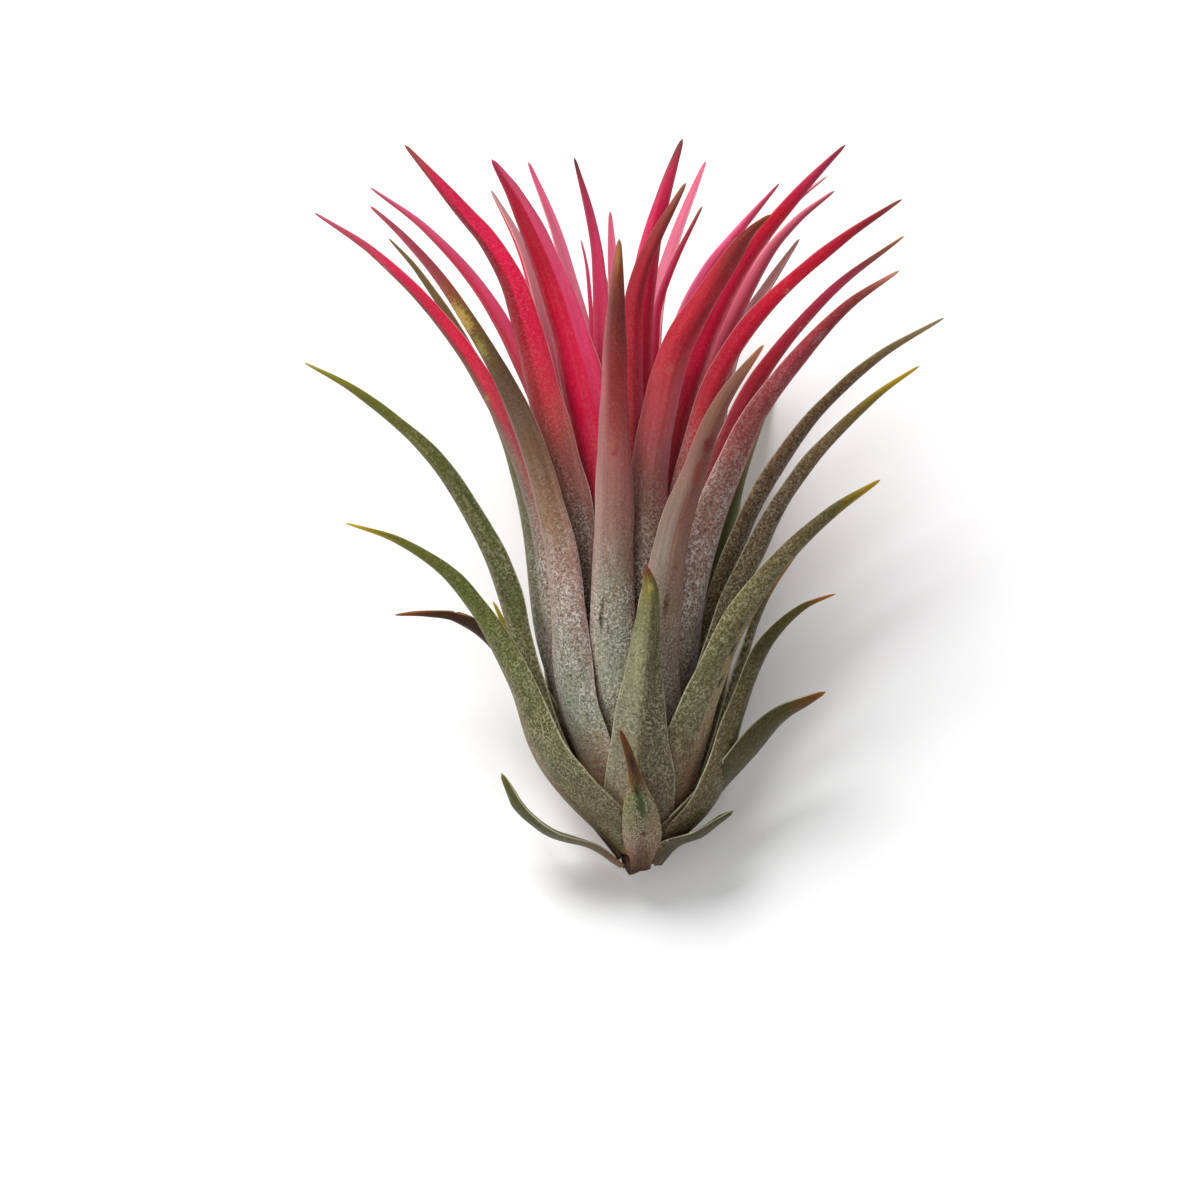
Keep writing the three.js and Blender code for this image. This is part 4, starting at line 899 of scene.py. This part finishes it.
def leaf_material(name, silver, silver_strength, rough, dark_strength):
    """A leaf's skin: its own colours, silver scales where they cover it, dark pits and scars."""
    n = Nodes(name)
    place = n.attribute("leaf_mm", "Vector")
    cover = n.attribute("cover", "Fac")
    tint = n.attribute("tint", "Color")

    # scales: fine flecks and short bent strokes, thicker in some patches
    flecks = n.band(n.noise(n.stretch(place, (0.85, 1.1, 1)), 3.0, 1.5), 0.51, 0.62)
    wave = n.noise(n.stretch(place, (0.8, 1.15, 1)), 2.1, 1.0, 0.4)
    strokes = n.band(n.math("ABSOLUTE", n.math("SUBTRACT", wave, 0.5)), 0.06, 0.015)
    scales = n.math("MAXIMUM", flecks, n.math("MULTIPLY", strokes, 0.7))
    patchy = n.band(n.noise(n.stretch(place, (0.22, 0.5, 1)), 0.9, 3.0), 0.3, 0.6, 0.45, 1.0)
    scales = n.math("MULTIPLY", n.math("MULTIPLY", scales, cover), patchy)
    # the skin shows dark in small pits and between the scales
    pits = n.band(n.noise(n.stretch(place, (0.9, 1.2, 1)), 1.6, 2.0), 0.4, 0.34)
    grain = n.band(n.noise(place, 2.7, 1.5), 0.48, 0.36)
    dark = n.math("MAXIMUM", pits, n.math("MULTIPLY", grain, 0.8))
    dark = n.math("MULTIPLY", n.math("MULTIPLY", dark, cover), dark_strength)
    stripes = n.noise(n.stretch(place, (0.06, 2.6, 1)), 1.0, 3.0)
    striped = n.add("ShaderNodeCombineColor", Red=stripes, Green=stripes, Blue=stripes).outputs[0]
    skin = n.blend(0.35, tint, striped, "OVERLAY")
    skin = n.blend(dark, skin, n.blend(0.75, tint, rgba("#14140A")))
    silvered = n.blend(0.75, tint, rgba(silver))
    colour = n.blend(n.math("MULTIPLY", scales, silver_strength), skin, silvered)
    uneven_edge = n.band(n.noise(place, 2.4, 3.0), 0.2, 0.8, -0.22, 0.22)
    ragged = n.math("ADD", n.attribute("scar", "Alpha"), uneven_edge)
    scarred = n.band(ragged, 0.15, 0.8)
    colour = n.blend(scarred, colour, n.attribute("scar", "Color"))
    n.put(n.shader.inputs["Base Color"], colour)
    uneven = n.band(n.noise(place, 0.8, 3.0), 0.3, 0.7, rough - 0.08, rough + 0.08)
    n.put(n.shader.inputs["Roughness"], n.math("ADD", uneven, n.math("MULTIPLY", scales, 0.2)))
    raised = n.bump(n.math("SUBTRACT", scales, dark), 0.00008, 0.7)
    raised = n.bump(stripes, 0.00012, 0.5, raised)
    raised = n.bump(n.math("SUBTRACT", 1.0, scarred), 0.0001, 0.6, raised)
    n.put(n.shader.inputs["Normal"], raised)
    n.shader.inputs["Sheen Weight"].default_value = 0.03
    n.shader.inputs["Sheen Roughness"].default_value = 0.5
    n.shader.inputs["Specular IOR Level"].default_value = 0.25
    return n.material


SKINS = {
    "outer": leaf_material("outer_leaf_skin", "#C4C09C", 0.65, 0.6, 0.9),
    "middle": leaf_material("middle_leaf_skin", "#D6D0C6", 0.9, 0.55, 0.88),
    "inner": leaf_material("inner_leaf_skin", "#E6C8C4", 0.7, 0.48, 0.7),
    "back": leaf_material("back_leaf_skin", "#D2D0BA", 0.9, 0.6, 0.88),
    "dry": leaf_material("dry_leaf_skin", "#C6BEA8", 0.8, 0.72, 0.85),
}


def stem_material():
    n = Nodes("stem_skin")
    place = n.add("ShaderNodeTexCoord").outputs["Object"]
    fibres = n.noise(n.stretch(place, (900, 150, 900)), 1.0, 4.0)
    patches = n.noise(place, 420.0, 3.0)
    colour = n.blend(n.band(fibres, 0.38, 0.62), rgba("#1E120A"), rgba("#5A3824"))
    colour = n.blend(n.band(patches, 0.52, 0.66), colour, rgba("#8A6444"))
    n.put(n.shader.inputs["Base Color"], colour)
    n.put(n.shader.inputs["Roughness"], n.band(patches, 0.3, 0.7, 0.75, 0.95))
    n.put(n.shader.inputs["Normal"], n.bump(fibres, 0.0003, 0.9))
    return n.material


# The plant

def build_leaf(name, leaf):
    kind = leaf_class(name)
    rings, outer_count, inner_count = (90, 21, 13) if kind == "back" else (170, 27, 17)
    points, facts, columns = leaf_surface(name, leaf, rings, outer_count, inner_count)
    points = to_row(points)
    points = press_to_solid(points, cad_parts[name], 0.35)
    points[:, 2] = np.maximum(points[:, 2], 0)
    made = new_object(name + "_fine", points, leaf_faces(rings, columns), SKINS[kind])
    tint, scar, cover = leaf_colours(name, leaf, facts)
    width_mm = facts["stop"] * facts["half"]
    place = np.stack([
        facts["distance"], width_mm + np.where(facts["outward"] > 0, 0, 40),
        np.full(len(width_mm), facts["seed"] * 1.7),
    ], axis=-1)
    add_colours(made, tint, scar, cover, place)
    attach(made, "root")
    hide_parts(name)


def build_stem(material):
    turns, rows = 96, 120
    heights = np.linspace(0, STEM_OUTLINE[-1][1], rows)
    radii = stem_radius(heights)
    angle = np.linspace(0, 2 * math.pi, turns, endpoint=False)
    fibre = 0.18 * smooth_noise(angle[None] * 9, heights[:, None] / 6, 3)
    fibre = fibre + 0.12 * smooth_noise(angle[None] * 20, heights[:, None] / 1.2, 4) - 0.05
    radius = np.maximum(0.05, radii[:, None] + fibre * np.minimum(1, radii / 1.5)[:, None])
    # the foot is broken off on a slant, higher on the right, and its end is ragged
    slant = 0.9 + 0.9 * np.sin(angle) + 0.35 * smooth_noise(angle * 3, angle * 0, 5)
    height = heights[:, None] + slant * smoothstep(heights[:, None], 3.5, 0)
    ends = [np.arange(turns)[::-1][None], (rows - 1) * turns + np.arange(turns)[None]]
    points = to_row(round_stem(radius, angle, height))
    made = new_object("stem_fine", points, [grid_faces(rows, turns, True), *ends], material)
    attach(made, "root")
    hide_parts("stem")


def build_remnant(index, material):
    """A dry brown scrap of an old sheath that clings to the foot, with a ragged upper edge."""
    rows, columns = 14, 9
    way = 2.4 * index + 0.3
    # the foot ends higher on the right, so the scraps there do too
    low = 0.5 + 0.9 * ((index * 0.37) % 1) + 1.7 * max(0, math.sin(way))
    tall = 2.2 + 2.4 * ((index * 0.61) % 1)
    spread = 0.42 + 0.2 * ((index * 0.29) % 1)
    up, over = np.meshgrid(np.linspace(0, 1, rows), np.linspace(-1, 1, columns), indexing="ij")
    ragged = 1 - 0.3 * np.abs(over) - 0.25 * (smooth_noise(over * 3, over * 0, index) > 0)
    height = low + tall * up * ragged
    angle = way + spread * over * (1 - 0.35 * up) + 0.12 * up
    lift = 0.14 + 0.45 * up ** 2 * ((index * 0.77) % 1) + 0.06 * smooth_noise(up * 4, over * 2, index)
    under = stem_radius(height) + lift
    sheets = [round_stem(under + thickness, angle, height) for thickness in (0.16, 0)]
    face = grid_faces(rows, columns, False)
    count = rows * columns
    edge = np.concatenate([
        np.arange(columns), np.arange(2 * columns - 1, count, columns),
        np.arange(count - 2, count - columns - 1, -1), np.arange(count - 2 * columns, 0, -columns),
    ])
    after = np.roll(edge, -1)
    sides = np.stack([edge, edge + count, after + count, after], axis=-1)
    points = to_row(np.vstack(sheets))
    points[:, 2] = np.maximum(points[:, 2], 0)
    made = new_object(f"foot_scrap_{index:02d}", points, [face, face[:, ::-1] + count, sides], material)
    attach(made, "root")


for leaf_name, leaf in LEAVES.items():
    build_leaf(leaf_name, leaf)
stem_skin = stem_material()
build_stem(stem_skin)
for scrap in range(1, 10):
    build_remnant(scrap, stem_skin)

# Studio: a pale floor, a large soft light above the crown and a weak one from the left

def area_light(name, place, aim, size, power):
    data = bpy.data.lights.new(name, "AREA")
    data.shape = "SQUARE"
    data.size = size
    data.energy = power
    made = bpy.data.objects.new(name, data)
    made.location = place
    towards = mathutils.Vector(aim) - mathutils.Vector(place)
    made.rotation_euler = towards.to_track_quat("-Z", "Y").to_euler()
    bpy.context.collection.objects.link(made)


def build_floor():
    n = Nodes("floor_paper")
    place = n.add("ShaderNodeTexCoord").outputs["Object"]
    n.put(n.shader.inputs["Base Color"], n.blend(n.noise(place, 4.0, 2.0), (0.93, 0.93, 0.93, 1),
                                                 (0.96, 0.96, 0.96, 1)))
    n.shader.inputs["Roughness"].default_value = 0.9
    n.shader.inputs["Specular IOR Level"].default_value = 0.1
    corners = np.array([[-3000, -3000, 0], [3000, -3000, 0], [3000, 3000, 0], [-3000, 3000, 0]], float)
    floor = new_object("floor", corners, [np.array([[0, 1, 2, 3]])], n.material)


build_floor()
area_light("key", (-0.3, 0.47, 0.75), (0, 0.02, 0.03), 0.45, 8)
area_light("fill", (-0.6, -0.5, 0.5), (0, 0, 0.03), 0.6, 1.5)
world = bpy.data.worlds.new("studio")
world.use_nodes = True
world.node_tree.nodes["Background"].inputs["Color"].default_value = (1, 1, 1, 1)
world.node_tree.nodes["Background"].inputs["Strength"].default_value = 0.5
bpy.context.scene.world = world

# Camera: where the solids' viewer stands, square to the plane of the plant's axis
CAMERA_PICTURE = 90  # half the width of the picture in the plane of the axis, in mm
camera_data = bpy.data.cameras.new("camera")
camera_data.sensor_width = 36
camera_data.lens = 18 * VIEWER[2] / CAMERA_PICTURE
camera_data.clip_start = 0.01
camera_data.clip_end = 20
camera = bpy.data.objects.new("camera", camera_data)
eye = to_row(np.array(VIEWER, float)) / 1000
camera.matrix_world = mathutils.Matrix.Translation(eye) @ mathutils.Matrix.Rotation(LIE_ANGLE, 4, "X")
bpy.context.collection.objects.link(camera)
bpy.context.scene.camera = camera
bpy.context.scene.view_settings.view_transform = "Standard"
